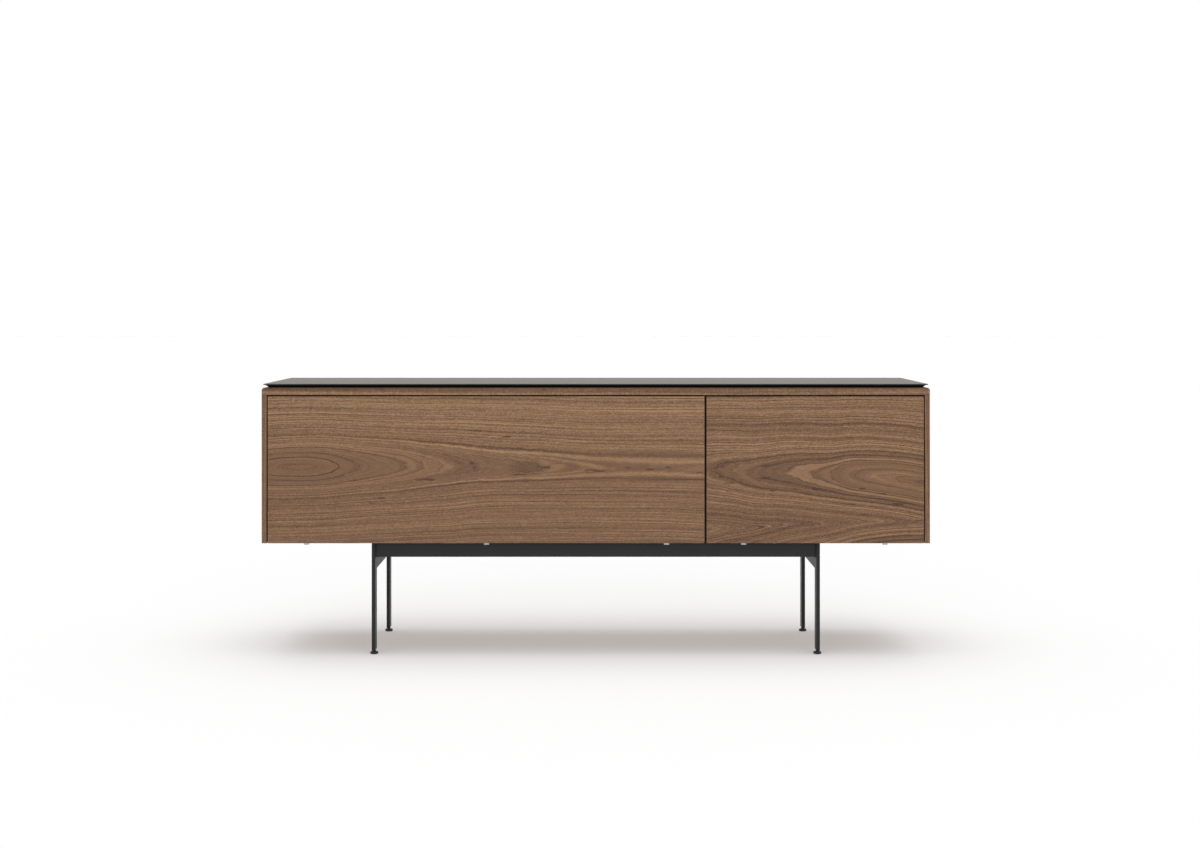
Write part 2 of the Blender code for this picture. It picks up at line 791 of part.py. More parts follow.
def make_stay(name, face, away):
    """A brake stay: fixed plate, swivelling brake body, sliding rod and the door's bracket."""

    def at(layer, y=STAY_PIVOT_Y, z=STAY_PIVOT_Z):
        return Vector((face + away * layer, y, z))

    def block(suffix, layers, depths, heights, finish=None, edge=0.0):
        ends = sorted(face + away * layer for layer in layers)
        low = (ends[0], depths[0], heights[0])
        high = (ends[1], depths[1], heights[1])
        return box(name + suffix, low, high, finish, edge)

    half_length = STAY_BODY_LENGTH / 2
    half_height = STAY_BODY_HEIGHT / 2

    plate = block(
        "_plate",
        (GAP, GAP + STAY_PLATE_THICKNESS),
        (STAY_PIVOT_Y - STAY_PLATE_LENGTH / 2, STAY_PIVOT_Y + STAY_PLATE_LENGTH / 2),
        (STAY_PIVOT_Z - STAY_PLATE_BELOW, STAY_PIVOT_Z + STAY_PLATE_ABOVE),
        "hinge_steel",
    )
    boss = cylinder(
        name + "_boss", STAY_BOSS_RADIUS, at(GAP + STAY_PLATE_THICKNESS / 2), at(STAY_BOSS_END)
    )
    join(plate, boss)
    screw_z = STAY_PIVOT_Z + STAY_PLATE_HOLE_RISE
    for number, side in enumerate((-1, 1)):
        screw_y = STAY_PIVOT_Y + side * STAY_PLATE_HOLE_SPACING / 2
        hole = cylinder(
            f"{name}_plate_hole_{number + 1}",
            STAY_PLATE_HOLE_RADIUS,
            at(0.0, screw_y, screw_z),
            at(STAY_BODY_START, screw_y, screw_z),
        )
        cut(plate, hole)

    body = block(
        "_brake",
        (STAY_BODY_START, STAY_BODY_END),
        (STAY_PIVOT_Y - half_length, STAY_PIVOT_Y + half_length),
        (STAY_PIVOT_Z - half_height, STAY_PIVOT_Z + half_height),
        "black",
        STAY_BODY_EDGE,
    )
    screw = cylinder(
        name + "_brake_screw",
        STAY_SCREW_RADIUS,
        at(STAY_ROD_X, STAY_PIVOT_Y, STAY_PIVOT_Z + half_height - STAY_BODY_WALL),
        at(STAY_ROD_X, STAY_PIVOT_Y, STAY_PIVOT_Z + half_height + STAY_SCREW_HEIGHT),
    )
    join(body, screw)
    pivot_bore = cylinder(
        name + "_pivot_bore",
        STAY_BOSS_RADIUS + STAY_PIVOT_CLEARANCE,
        at(STAY_BODY_START - GAP),
        at(STAY_BOSS_END + GAP),
    )
    rod_bore = cylinder(
        name + "_rod_bore",
        STAY_ROD_BORE,
        at(STAY_ROD_X, STAY_PIVOT_Y - half_length - GAP),
        at(STAY_ROD_X, STAY_PIVOT_Y + half_length + GAP),
    )
    cut(body, pivot_bore, rod_bore)

    tail = EYE_Y + stay_open_reach() + half_length + GAP + STAY_STOP_LENGTH
    rod = cylinder(
        name + "_rod",
        STAY_ROD_RADIUS,
        at(STAY_ROD_X, EYE_Y),
        at(STAY_ROD_X, tail),
        "pin_steel",
        ROD_SIDES,
    )
    eye = cylinder(
        name + "_eye",
        STAY_EYE_RADIUS,
        at(STAY_ROD_X - STAY_ROD_RADIUS - GAP, EYE_Y, EYE_Z),
        at(STAY_EYE_END, EYE_Y, EYE_Z),
    )
    stop = cylinder(
        name + "_stop",
        STAY_STOP_RADIUS,
        at(STAY_ROD_X, tail - STAY_STOP_LENGTH),
        at(STAY_ROD_X, tail),
    )
    join(rod, eye, stop)

    ear = block(
        "_door_bracket",
        (STAY_EAR_START, STAY_EAR_START + STAY_FLANGE_WIDTH),
        (DOOR_BACK + GAP, DOOR_BACK + GAP + STAY_EAR_THICKNESS),
        (EYE_Z - STAY_FLANGE_HEIGHT / 2, EYE_Z + STAY_FLANGE_HEIGHT / 2),
        "hinge_steel",
    )
    web = block(
        "_ear_web",
        (STAY_EAR_START, STAY_EAR_START + STAY_EAR_THICKNESS),
        (DOOR_BACK + GAP, EYE_Y),
        (EYE_Z - STAY_EAR_RADIUS, EYE_Z + STAY_EAR_RADIUS),
    )
    tip = cylinder(
        name + "_ear_tip",
        STAY_EAR_RADIUS,
        at(STAY_EAR_START, EYE_Y, EYE_Z),
        at(STAY_EAR_START + STAY_EAR_THICKNESS, EYE_Y, EYE_Z),
    )
    rivet = cylinder(
        name + "_ear_rivet",
        STAY_ROD_RADIUS,
        at(STAY_EAR_START + STAY_EAR_THICKNESS / 2, EYE_Y, EYE_Z),
        at(STAY_EAR_START + STAY_EAR_THICKNESS + STAY_RIVET_HEIGHT, EYE_Y, EYE_Z),
    )
    join(ear, web, tip, rivet)
    for number, side in enumerate((-1, 1)):
        hole_layer = STAY_EAR_START + (STAY_FLANGE_WIDTH + STAY_EAR_THICKNESS) / 2
        hole_z = EYE_Z + side * STAY_FLANGE_HOLE_SPACING / 2
        hole = cylinder(
            f"{name}_flange_hole_{number + 1}",
            STAY_PLATE_HOLE_RADIUS,
            at(hole_layer, DOOR_BACK, hole_z),
            at(hole_layer, DOOR_BACK + STAY_EAR_THICKNESS + 2 * GAP, hole_z),
        )
        cut(ear, hole)

    pivot = axis_empty(name + "_swivel_axis", at(STAY_ROD_X))
    carry(pivot, at(STAY_ROD_X), body, rod)
    return ear


def make_latch(name, x):
    """A push latch screwed under the top board by two ears. Returns its striker, which turns
    with the door.
    """
    low_y = DOOR_BACK + LATCH_SETBACK
    centre_z = TOP_UNDERSIDE - GAP - LATCH_HEIGHT / 2
    body = box(
        name + "_latch_body",
        (x - LATCH_WIDTH / 2, low_y, centre_z - LATCH_HEIGHT / 2),
        (x + LATCH_WIDTH / 2, low_y + LATCH_LENGTH, centre_z + LATCH_HEIGHT / 2),
        "latch_plastic",
        LATCH_EDGE,
    )
    ear_top = TOP_UNDERSIDE - GAP
    ear_bottom = ear_top - LATCH_EAR_THICKNESS
    ear_x = LATCH_WIDTH / 2 + LATCH_EAR_WIDTH
    ear_y = low_y + LATCH_LENGTH / 2
    ears = box(
        name + "_latch_ears",
        (x - ear_x, ear_y - LATCH_EAR_LENGTH / 2, ear_bottom),
        (x + ear_x, ear_y + LATCH_EAR_LENGTH / 2, ear_top),
    )
    join(body, ears)
    for number, side in enumerate((-1, 1)):
        hole_x = x + side * (ear_x - LATCH_EAR_WIDTH / 2)
        hole = cylinder(
            f"{name}_latch_ear_hole_{number + 1}",
            LATCH_EAR_HOLE_RADIUS,
            (hole_x, ear_y, ear_bottom - GAP),
            (hole_x, ear_y, ear_top + GAP),
        )
        cut(body, hole)
    bore = cylinder(
        name + "_latch_bore",
        PLUNGER_RADIUS + LATCH_BORE_CLEARANCE,
        (x, low_y - GAP, centre_z),
        (x, low_y + LATCH_BORE_DEPTH, centre_z),
    )
    cut(body, bore)
    tip = DOOR_BACK + STRIKER_THICKNESS + 2 * GAP
    tail = low_y + LATCH_BORE_DEPTH - PLUNGER_TRAVEL - GAP
    plunger = cylinder(
        name + "_latch_plunger",
        PLUNGER_RADIUS,
        (x, tip, centre_z),
        (x, tail, centre_z),
        "black",
    )
    bevel(plunger, PLUNGER_TIP_FILLET, 1)
    axis = axis_empty(name + "_latch_axis", (x, tip, centre_z))
    carry(axis, (x, tip, centre_z), plunger)
    return cylinder(
        name + "_latch_striker",
        STRIKER_RADIUS,
        (x, DOOR_BACK + GAP, centre_z),
        (x, DOOR_BACK + GAP + STRIKER_THICKNESS, centre_z),
        "pin_steel",
    )


clear_scene()
PARTS = new_collection("sideboard")
CUTTERS = new_collection("cutters")
make_top_board()
make_sides()
make_bottom_panel()
make_divider()
make_backs()
make_shelves()
make_cover()
make_legs()
make_side_rails()
make_beams()
make_doors()
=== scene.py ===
"""The looks of a low walnut sideboard with two drop-down doors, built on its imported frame.

Every finish is a procedural material measured in metres on the piece itself, so grain and texture
keep their real size. The doors have a crown figure: year rings cut lengthwise round a heart.
"""

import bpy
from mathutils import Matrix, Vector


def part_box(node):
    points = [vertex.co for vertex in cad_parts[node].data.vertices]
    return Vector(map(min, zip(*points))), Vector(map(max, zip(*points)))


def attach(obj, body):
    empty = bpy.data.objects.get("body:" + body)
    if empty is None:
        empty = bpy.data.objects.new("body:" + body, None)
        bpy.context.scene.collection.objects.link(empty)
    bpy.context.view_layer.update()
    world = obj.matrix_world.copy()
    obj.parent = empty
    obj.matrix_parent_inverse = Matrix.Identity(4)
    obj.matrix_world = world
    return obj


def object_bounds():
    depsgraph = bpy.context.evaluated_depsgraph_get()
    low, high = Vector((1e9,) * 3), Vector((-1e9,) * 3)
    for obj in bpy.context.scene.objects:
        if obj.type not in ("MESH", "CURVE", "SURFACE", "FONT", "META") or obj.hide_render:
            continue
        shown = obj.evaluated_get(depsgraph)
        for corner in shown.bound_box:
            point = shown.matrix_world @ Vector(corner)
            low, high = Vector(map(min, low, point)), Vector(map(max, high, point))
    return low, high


bl_info = {
    "name": "Walnut Sideboard",
    "version": (1, 0, 0),
    "blender": (4, 5, 0),
    "location": "3D View > Sidebar > Sideboard",
    "description": "Finishes, fittings and studio for a low sideboard with drop-down doors",
    "category": "Object",
}

import math
import random

import bmesh
import bpy
from mathutils import Matrix, Vector

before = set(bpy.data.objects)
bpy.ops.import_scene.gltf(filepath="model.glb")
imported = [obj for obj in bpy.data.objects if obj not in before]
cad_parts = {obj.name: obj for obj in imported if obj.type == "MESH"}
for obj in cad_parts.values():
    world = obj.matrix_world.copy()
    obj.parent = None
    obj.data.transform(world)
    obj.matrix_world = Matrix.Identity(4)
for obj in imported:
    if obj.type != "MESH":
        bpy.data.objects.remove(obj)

# The CAD model's box, and the doors' front
CAD_LOW, CAD_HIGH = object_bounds()
FRONT = CAD_LOW.y

# How the frame's fittings are drilled, counted from the edges of their solids
LEAF_THICKNESS = 0.0015
LEAF_HOLE_END = 0.009
LEAF_HOLE_SPACING = 0.018
STAY_PLATE = 0.002
STAY_HOLE_DOWN = 0.007
STAY_HOLE_SPACING = 0.018
STAY_SCREW_PROUD = 0.0002
BRACKET_HOLE_IN = 0.010
BRACKET_HOLE_SPACING = 0.030
LATCH_EAR = 0.003
LATCH_HOLE_SPACING = 0.030
RAIL_FLANGE = 0.004
RAIL_HOLE_IN = 0.015
RAIL_HOLE_END = 0.035
BACK_SCREW_EDGE = 0.012
BACK_SCREW_SPACING = 0.32

# Screw heads, as shares of their radius. The profile is (share of the radius, share of the
# height) from the rim to the top, and the cross narrows to a share at its floor.
HEAD_HEIGHT = 0.42
HEAD_SIDES = 20
HEAD_PROFILE = ((1.0, 0.35), (0.88, 0.78), (0.66, 0.96))
CROSS_ARM = 0.52
CROSS_WIDTH = 0.22
CROSS_DEPTH = 0.75
CROSS_FLOOR = 0.6
RAIL_SCREW_SHARE = 1.4

# Weld beads round the ends of the beams, whose tabs stand so high over their bars
BEAM_TAB_HEIGHT = 0.0037
BEAM_CORNER = 0.0025
WELD_SIZE = 0.0034
WELD_STEPS = 4

# Faces that meet at more than this angle have a sharp edge between them
SHARP_ANGLE = math.radians(35.0)

# A curve whose results are all the same still needs a little range
LEAST_RANGE = 1e-6

# The studio floor: what it gives back to other surfaces, and what the camera sees of its shading
# and of its own glow. The glow is warm and the shaded part cool: they add up to white where
# nothing shades the floor, and the shadow gets a painted warm tint.
FLOOR_REACH = 60.0
FLOOR_GAP = 0.0002
FLOOR_ROUGHNESS = 0.9
FLOOR_BOUNCE = 0.80
FLOOR_SHADED = (0.527, 0.555, 0.572)
FLOOR_GLOW = 0.32
FLOOR_GLOW_PAINTED_TINT = (1.0, 0.885, 0.818, 1.0)

# The fill light's height over the horizon and the angle that it is wide
FILL_HEIGHT = math.radians(25.0)
FILL_SPREAD = math.radians(60.0)

# The plain grain from coarse to fine: lines that follow the rings or the fibres, with the length
# and the width of their patches in metres, their strength in tones and their noise's detail
GRAIN = (
    ("ring", 1.00, 0.0340, 0.9, 2.0),
    ("ring", 0.90, 0.0080, 1.6, 2.0),
    ("ring", 2.40, 0.0019, 7.5, 0.5),
    ("ring", 0.60, 0.0013, 6.0, 1.0),
    ("fibre", 0.06, 0.0014, 4.0, 2.0),
    ("fibre", 0.004, 0.0014, 8.0, 1.0),
)
GRAIN_SEED = 11.3

# Pores: length and width in metres, where the noise turns into a pore, and how dark and how
# deep it is
PORE_SIZE = (0.009, 0.00045)
PORE_EDGES = (0.10, 0.26)
PORE_TONE = 0.9
PORE_RELIEF = 0.00006

# The hue wanders along the grain, in patches of this length and width, between a green and a
# pink brown: how much of the green part goes and how much of the blue part comes
HUE_SIZE = (0.140, 0.014)
HUE_GREEN = -0.07
HUE_BLUE = 0.24

# How much of the plain grain is left in the middle of the crown figure, and where that ends
FIGURE_QUIET = 0.48
QUIET_EDGES = (0.035, 0.090)

# How much of the plain grain's contrast the boards round the doors have
BOARD_CONTRAST = 0.65

# How much of the plain grain is left where the rings lie flat, how fast their distance grows
# there and where they stand steep, and the grain's contrast by height
FLAT_QUIET = 0.6
FLAT_EDGES = (0.2, 0.8)
CONTRAST = ((0.317, 0.82), (0.480, 0.90), (0.600, 1.08), (0.730, 1.18))

# Streaks from this half length up run straight
STRAIGHT_MARK = 0.1

# How far above and below the heart the rings are widened, and how near to the heart the two
# widenings meet
WIDENED = 0.060
WIDENING_BLUR = 0.01

# How round the rings turn back, in square metres, and how slowly their distance can grow
FOLD_ROUNDING = 0.00002
LEAST_GROWTH = 0.12

# Behind its face the grain leans: so far across for each metre of depth
GRAIN_LEAN = 0.8

# How the wood strays from its drawing: length and width of the noise's patches in metres, how
# far it goes, and what it adds to the wood's seed
DOOR_DRIFT = (0.42, 0.10, 0.012, 0.0)
DOOR_WOBBLE = (0.09, 0.022, 0.0030, 5.0)
DOOR_RIPPLE = (0.022, 0.006, 0.0016, 9.0)
DEPTH_ROUGHNESS = (0.028, 0.012, 0.0050, 15.0)
RING_FADE = (0.085, 0.014, 1.8, 21.0)
MARK_BEND = (0.03, 0.5, 0.008, 27.0)
BOARD_DRIFT = (0.60, 0.12, 0.03, 0.0)
BOARD_WOBBLE = (0.11, 0.03, 0.004, 5.0)

# What is left of a thin ring where it fades most
LEAST_FADE = 0.2

# The rings follow the heart up and down and drift besides. Between these heights both calm down
# to a share.
CALM_EDGES = (0.580, 0.730)
CALM_END = 0.3

# Near the heart the rings run unevenly. Where that ends to its sides, and what is left of it.
LIVELY_EDGES = (0.045, 0.085)
LIVELY_END = 0.25

# What the closed doors hide round their edges is painted dark, as painted shade for the gaps
# round the doors: how much darker, and where the painted shade begins, in from a door's sides
# and back from its front
PAINTED_SHADE_STRENGTH = 0.88
PAINTED_SHADE_IN = 0.0008
PAINTED_SHADE_BACK = 0.0007
PAINTED_SHADE_BLUR = 0.0003

# The doors' outer arrises get the painted shade too, seen from the front so wide
ARRIS_SIDE = 0.0005
ARRIS_TOP = 0.0010

# Painted shade on the top board up to its upper edge, under the cover plate: how high the
# painted shade is, and its share of the full painted shade there
RIM_HEIGHT = 0.0060
RIM_SHARE = 0.58

# The satin lacquer is thin and gives back less than glass would
LACQUER_SPECULAR = 0.25

# The powder coat's gloss
COAT_SPECULAR = 0.25
COAT_ROUGHNESS = 0.5

# Length and width of the lines in rolled or drawn steel, and their seed
BRUSH_LINES = (0.012, 0.00022, 3.0)

# The cover plate is darker on its edges: how far below its top that begins, and the share of
# its colour left there
PLATE_DARK_EDGE = 0.0006
PLATE_DARK_EDGE_SHARE = 0.10

# Tones of the wood run from minus to plus TONE_RANGE, from the darkest ring to the palest
TONE_RANGE = 3.0

# The seed of each door's noise
DOOR_SEEDS = {"left": 3.0, "right": 43.0}


def display(red, green, blue):
    """A colour as a screen shows it, from 0 to 255, made linear."""
    shares = (red / 255, green / 255, blue / 255)
    return tuple(
        share / 12.92 if share <= 0.04045 else ((share + 0.055) / 1.055) ** 2.4
        for share in shares
    )


# The crown figure of each door. Every curve is a list of (place, value): along x in metres, and
# for shade along z and for bands along the distance from the heart.
# heart: height of the figure's middle. depth: how far the rings' heart lies under the surface
# there, so that a ring comes to a tip where the depth passes the ring's own distance.
# above and below: how much wider the rings lie there. uneven: how rough their tips are. outer:
# how clear the rings past OUTER_RINGS are. fold: distance below the heart where the rings turn
# back. shade: a broad tone by height, paler towards the top, partly the wood's own tone and
# partly painted light from above. bands: broad tones.
# lines: (distance from the heart, half width, tone) of thin rings, dark below zero.
# marks: (x, z, half length, half height, tone) of short streaks.
OUTER_RINGS = (0.064, 0.072)
FIGURES = {
    "left": {
        "heart": (
            (-0.914, 0.528), (-0.717, 0.532), (-0.523, 0.5325), (-0.41, 0.531), (-0.13, 0.5262),
            (0.15, 0.5265), (0.303, 0.524),
        ),
        "depth": (
            (-0.914, 0.018), (-0.87, 0.0085), (-0.824, 0.0035), (-0.77, 0.013), (-0.717, 0.0262),
            (-0.658, 0.0385), (-0.523, 0.0541), (-0.467, 0.061), (-0.406, 0.0668), (-0.322, 0.0724),
            (-0.13, 0.078), (0.02, 0.0815), (0.18, 0.0822), (0.303, 0.0815),
        ),
        "above": (
            (-0.914, 1.0), (-0.52, 1.03), (-0.35, 1.17), (-0.21, 1.18), (0.01, 1.09), (0.303, 1.1),
        ),
        "below": (
            (-0.914, 1.02), (-0.65, 1.0), (-0.44, 0.95), (-0.22, 0.8), (0.0, 0.84), (0.303, 0.92),
        ),
        "uneven": ((-0.914, 1.0), (-0.22, 1.0), (-0.06, 0.4), (0.303, 0.3)),
        "outer": ((-0.914, 0.2), (-0.6, 0.3), (-0.35, 0.8), (-0.15, 1.0), (0.303, 1.0)),
        "fold": None,
        # Paler towards the top: partly the wood's own tone, partly painted light from above
        "shade": ((0.317, -0.15), (0.545, -0.05), (0.6, 0.35), (0.73, 0.45)),
        "bands": (
            (0.0, -0.2), (0.006, -0.4), (0.0095, -0.7), (0.014, -0.5), (0.024, -0.5), (0.028, -0.3),
            (0.036, -0.5), (0.043, -0.2), (0.046, -0.3), (0.0535, -0.4), (0.055, 0.6),
            (0.0575, 0.5), (0.0592, -0.2), (0.0612, 0.7), (0.0636, 0.7), (0.0655, -0.5),
            (0.0682, -0.2), (0.0705, -0.6), (0.0735, -0.2), (0.0758, 0.2), (0.0775, -0.6),
            (0.0792, 0.3), (0.082, 0.4), (0.085, 0.5), (0.0885, -0.4), (0.092, 0.2), (0.1, 0.0),
        ),
        "lines": (
            (0.0065, 0.0024, -1.2), (0.0262, 0.0026, -2.2), (0.0385, 0.0024, -1.4),
            (0.0432, 0.002, -0.8), (0.0478, 0.0016, -0.6), (0.0536, 0.0019, -1.5),
            (0.0592, 0.0016, -0.7), (0.065, 0.0018, -0.9), (0.07, 0.0016, -0.6),
            (0.0778, 0.0019, -1.5), (0.0838, 0.0024, 0.8), (0.089, 0.0021, -0.4),
            (0.093, 0.0018, 0.7),
        ),
        "marks": (
            (-0.015, 0.521, 0.026, 0.0039, -3.0), (0.012, 0.518, 0.022, 0.0034, -2.1),
            (0.089, 0.527, 0.012, 0.0029, -2.1), (0.15, 0.5225, 0.016, 0.0034, -3.2),
            (0.202, 0.528, 0.012, 0.0029, -2.1), (0.288, 0.515, 0.014, 0.0031, -1.9),
            (-0.478, 0.495, 0.04, 0.0029, -2.1), (-0.464, 0.4935, 0.02, 0.0042, -2.4),
            (-0.378, 0.4835, 0.018, 0.0029, -1.9), (-0.345, 0.54, 0.01, 0.0052, -1.9),
            (-0.192, 0.527, 0.062, 0.026, -1.2), (0.1, 0.6864, 0.26, 0.0028, 1.5),
            (0.1, 0.6642, 0.26, 0.0026, -1.3), (-0.1, 0.6001, 0.15, 0.0028, 1.4),
            (0.21, 0.4943, 0.13, 0.0028, -1.5), (0.21, 0.4665, 0.13, 0.0026, 1.4),
            (0.03, 0.4191, 0.32, 0.0026, 1.3), (-0.136, 0.5275, 0.014, 0.004, -2.0),
            (-0.34, 0.527, 0.008, 0.0065, -1.4), (-0.597, 0.443, 0.016, 0.0047, -2.6),
            (-0.625, 0.429, 0.01, 0.0029, -1.9), (-0.248, 0.6135, 0.018, 0.0039, -3.4),
            (-0.34, 0.63, 0.03, 0.0023, -1.4), (-0.215, 0.508, 0.034, 0.0034, -2.4),
        ),
    },
    "right": {
        "heart": (
            (0.308, 0.5238), (0.39, 0.518), (0.457, 0.512), (0.527, 0.5145), (0.647, 0.5085),
            (0.713, 0.508), (0.822, 0.5), (0.914, 0.4865),
        ),
        "depth": (
            (0.308, 0.0768), (0.326, 0.0745), (0.39, 0.069), (0.457, 0.062), (0.527, 0.0558),
            (0.601, 0.049), (0.656, 0.0425), (0.722, 0.0262), (0.836, 0.0135), (0.914, 0.0075),
        ),
        "above": ((0.308, 1.0), (0.6, 0.98), (0.7, 0.95), (0.914, 0.97)),
        "below": ((0.308, 1.04), (0.43, 0.98), (0.555, 1.0), (0.741, 1.05), (0.914, 1.08)),
        "uneven": ((0.308, 1.1), (0.914, 1.0)),
        "outer": ((0.308, 0.9), (0.914, 0.9)),
        "fold": ((0.308, 0.168), (0.914, 0.108)),
        # Paler towards the top: partly the wood's own tone, partly painted light from above
        "shade": ((0.317, -0.55), (0.45, -0.4), (0.545, -0.25), (0.6, -0.05), (0.73, 0.05)),
        "bands": (
            (0.0, -1.0), (0.01, -0.8), (0.0128, -0.2), (0.0155, 0.7), (0.0215, 1.0), (0.0238, 0.2),
            (0.0275, 0.1), (0.0345, 0.2), (0.0395, -0.4), (0.0425, -0.5), (0.0445, 0.5),
            (0.0465, 0.4), (0.0487, -0.4), (0.0502, 0.9), (0.0545, 1.1), (0.056, -0.7),
            (0.06, -0.5), (0.064, -0.7), (0.068, 0.2), (0.0715, -0.1), (0.0745, -0.6),
            (0.0775, 0.2), (0.08, 0.7), (0.083, 0.0), (0.0875, -0.4), (0.0925, 0.3), (0.1, 0.0),
        ),
        "lines": (
            (0.0135, 0.002, -1.5), (0.0262, 0.0018, -1.3), (0.043, 0.0024, -1.7),
            (0.049, 0.0018, -1.2), (0.056, 0.0021, -1.5), (0.0622, 0.003, -2.6),
            (0.0745, 0.0024, -1.9), (0.08, 0.002, 1.9), (0.085, 0.0018, -0.8), (0.0925, 0.002, 1.7),
            (0.0962, 0.0016, -0.8), (0.1, 0.0018, 1.0),
        ),
        "marks": (
            (0.492, 0.463, 0.012, 0.0039, -3.2), (0.474, 0.533, 0.02, 0.0055, -1.5),
            (0.468, 0.499, 0.024, 0.005, -1.8), (0.345, 0.529, 0.022, 0.003, -1.5),
            (0.558, 0.468, 0.014, 0.0031, -2.1), (0.37, 0.484, 0.02, 0.0036, -1.8),
            (0.612, 0.468, 0.014, 0.0047, -2.9), (0.742, 0.468, 0.014, 0.0036, -2.6),
            (0.798, 0.455, 0.014, 0.0034, -2.1), (0.712, 0.4255, 0.018, 0.0029, -2.4),
            (0.842, 0.427, 0.022, 0.0047, -3.0), (0.748, 0.396, 0.016, 0.0039, -1.6),
            (0.9, 0.38, 0.014, 0.0034, -2.4),
        ),
    },
}

# Colours of the plastic pieces
FOOT_BLACK = display(30, 30, 30)
BRAKE_BLACK = display(26, 26, 27)
LATCH_GREY = display(186, 186, 184)


def colour_setting(name, description, *shown):
    """A colour that a user can change, given as a screen shows it."""
    return bpy.props.FloatVectorProperty(
        name=name,
        description=description,
        subtype="COLOR",
        size=3,
        min=0.0,
        max=1.0,
        default=display(*shown),
    )


class SIDEBOARD_PG_veneer(bpy.types.PropertyGroup):
    """Colours and scales of the walnut veneer."""

    dark: colour_setting("Dark rings", "Colour of the darkest year rings", 78, 54, 38)
    middle: colour_setting("Body", "Colour of most of the wood", 123, 92, 68)
    light: colour_setting("Light rings", "Colour of the palest year rings", 166, 130, 96)
    inside_shade: bpy.props.FloatProperty(
        name="Inside shade",
        description="How much darker the inner boards are than the outer ones",
        subtype="FACTOR",
        min=0.0,
        max=1.0,
        default=0.12,
    )
    roughness: bpy.props.FloatProperty(
        name="Roughness",
        description="Roughness of the satin lacquer",
        subtype="FACTOR",
        min=0.0,
        max=1.0,
        default=0.5,
    )


class SIDEBOARD_PG_metal(bpy.types.PropertyGroup):
    """Colours of the steel base and of the fittings."""

    powder_coat: colour_setting("Powder coat", "Colour of the base's powder coat", 37, 37, 38)
    # The legs are the same powder coat as the beams, painted darker as painted shade
    legs: colour_setting("Legs", "Colour of the same powder coat on the legs", 32, 32, 33)
    nickel: colour_setting("Nickel", "Colour of the hinges' satin nickel", 206, 205, 203)
    zinc: colour_setting("Zinc", "Colour of the zinc-plated pins and rods", 196, 198, 202)
    screw_radius: bpy.props.FloatProperty(
        name="Screw head radius",
        description="Radius of the fittings' screw heads",
        subtype="DISTANCE",
        unit="LENGTH",
        min=0.0005,
        max=0.01,
        default=0.0032,
    )


class SIDEBOARD_PG_cover(bpy.types.PropertyGroup):
    """Colours of the cover plate and of the spacer under it."""

    plate: colour_setting("Plate", "Colour of the satin cover plate", 80, 71, 62)
    spacer: colour_setting("Spacer", "Colour of the recessed spacer", 6, 6, 6)


class SIDEBOARD_PG_studio(bpy.types.PropertyGroup):
    """The camera's place and the studio's light."""

    distance: bpy.props.FloatProperty(
        name="Camera distance",
        description="From the camera to the middle of the sideboard",
        subtype="DISTANCE",
        unit="LENGTH",
        default=5.065,
    )
    height: bpy.props.FloatProperty(
        name="Camera height",
        description="Height of the level camera above the floor",
        subtype="DISTANCE",
        unit="LENGTH",
        default=0.965,
    )
    lens: bpy.props.FloatProperty(
        name="Lens",
        description="Focal length on a 36 mm wide sensor",
        subtype="DISTANCE_CAMERA",
        unit="CAMERA",
        default=52.17,
    )
    shift_x: bpy.props.FloatProperty(
        name="Sideways shift",
        description="Camera shift to the right, as a share of the image's width",
        default=0.0035,
    )
    shift_y: bpy.props.FloatProperty(
        name="Upward shift",
        description="Camera shift upwards, as a share of the image's width",
        default=-0.0946,
    )
    sky: bpy.props.FloatProperty(
        name="Sky", description="Strength of the even light from all round", min=0.0, default=0.35
    )
    zenith: bpy.props.FloatProperty(
        name="Overhead",
        description="Strength of the soft light from above, at its middle",
        min=0.0,
        default=5.1,
    )
    focus: bpy.props.FloatProperty(
        name="Overhead focus",
        description="Power of the cosine by which the light from above fades to the sides",
        min=1.0,
        default=10.0,
    )
    tilt: bpy.props.FloatProperty(
        name="Overhead tilt",
        description="How far the light from above leans to the front",
        subtype="ANGLE",
        unit="ROTATION",
        default=math.radians(2.0),
    )
    fill: bpy.props.FloatProperty(
        name="Front fill", description="Strength of the light from the front", min=0.0, default=0.7
    )


class Value:
    """A node's output. The usual signs between it and numbers or other values add maths nodes."""

    def __init__(self, socket):
        self.socket = socket

    def __add__(self, other):
        return maths("ADD", self, other)

    def __sub__(self, other):
        return maths("SUBTRACT", self, other)

    def __rsub__(self, other):
        return maths("SUBTRACT", other, self)

    def __mul__(self, other):
        return maths("MULTIPLY", self, other)

    def __truediv__(self, other):
        return maths("DIVIDE", self, other)

    def __abs__(self):
        return maths("ABSOLUTE", self)


def feed(socket, value):
    """Links a value to a node's input, or sets the input to a number or vector."""
    if isinstance(value, Value):
        socket.id_data.links.new(value.socket, socket)
    else:
        socket.default_value = value


def maths(operation, *inputs):
    """What a new maths node makes of numbers and values."""
    tree = next(value.socket.id_data for value in inputs if isinstance(value, Value))
    node = tree.nodes.new("ShaderNodeMath")
    node.operation = operation
    for socket, value in zip(node.inputs, inputs):
        feed(socket, value)
    return Value(node.outputs[0])


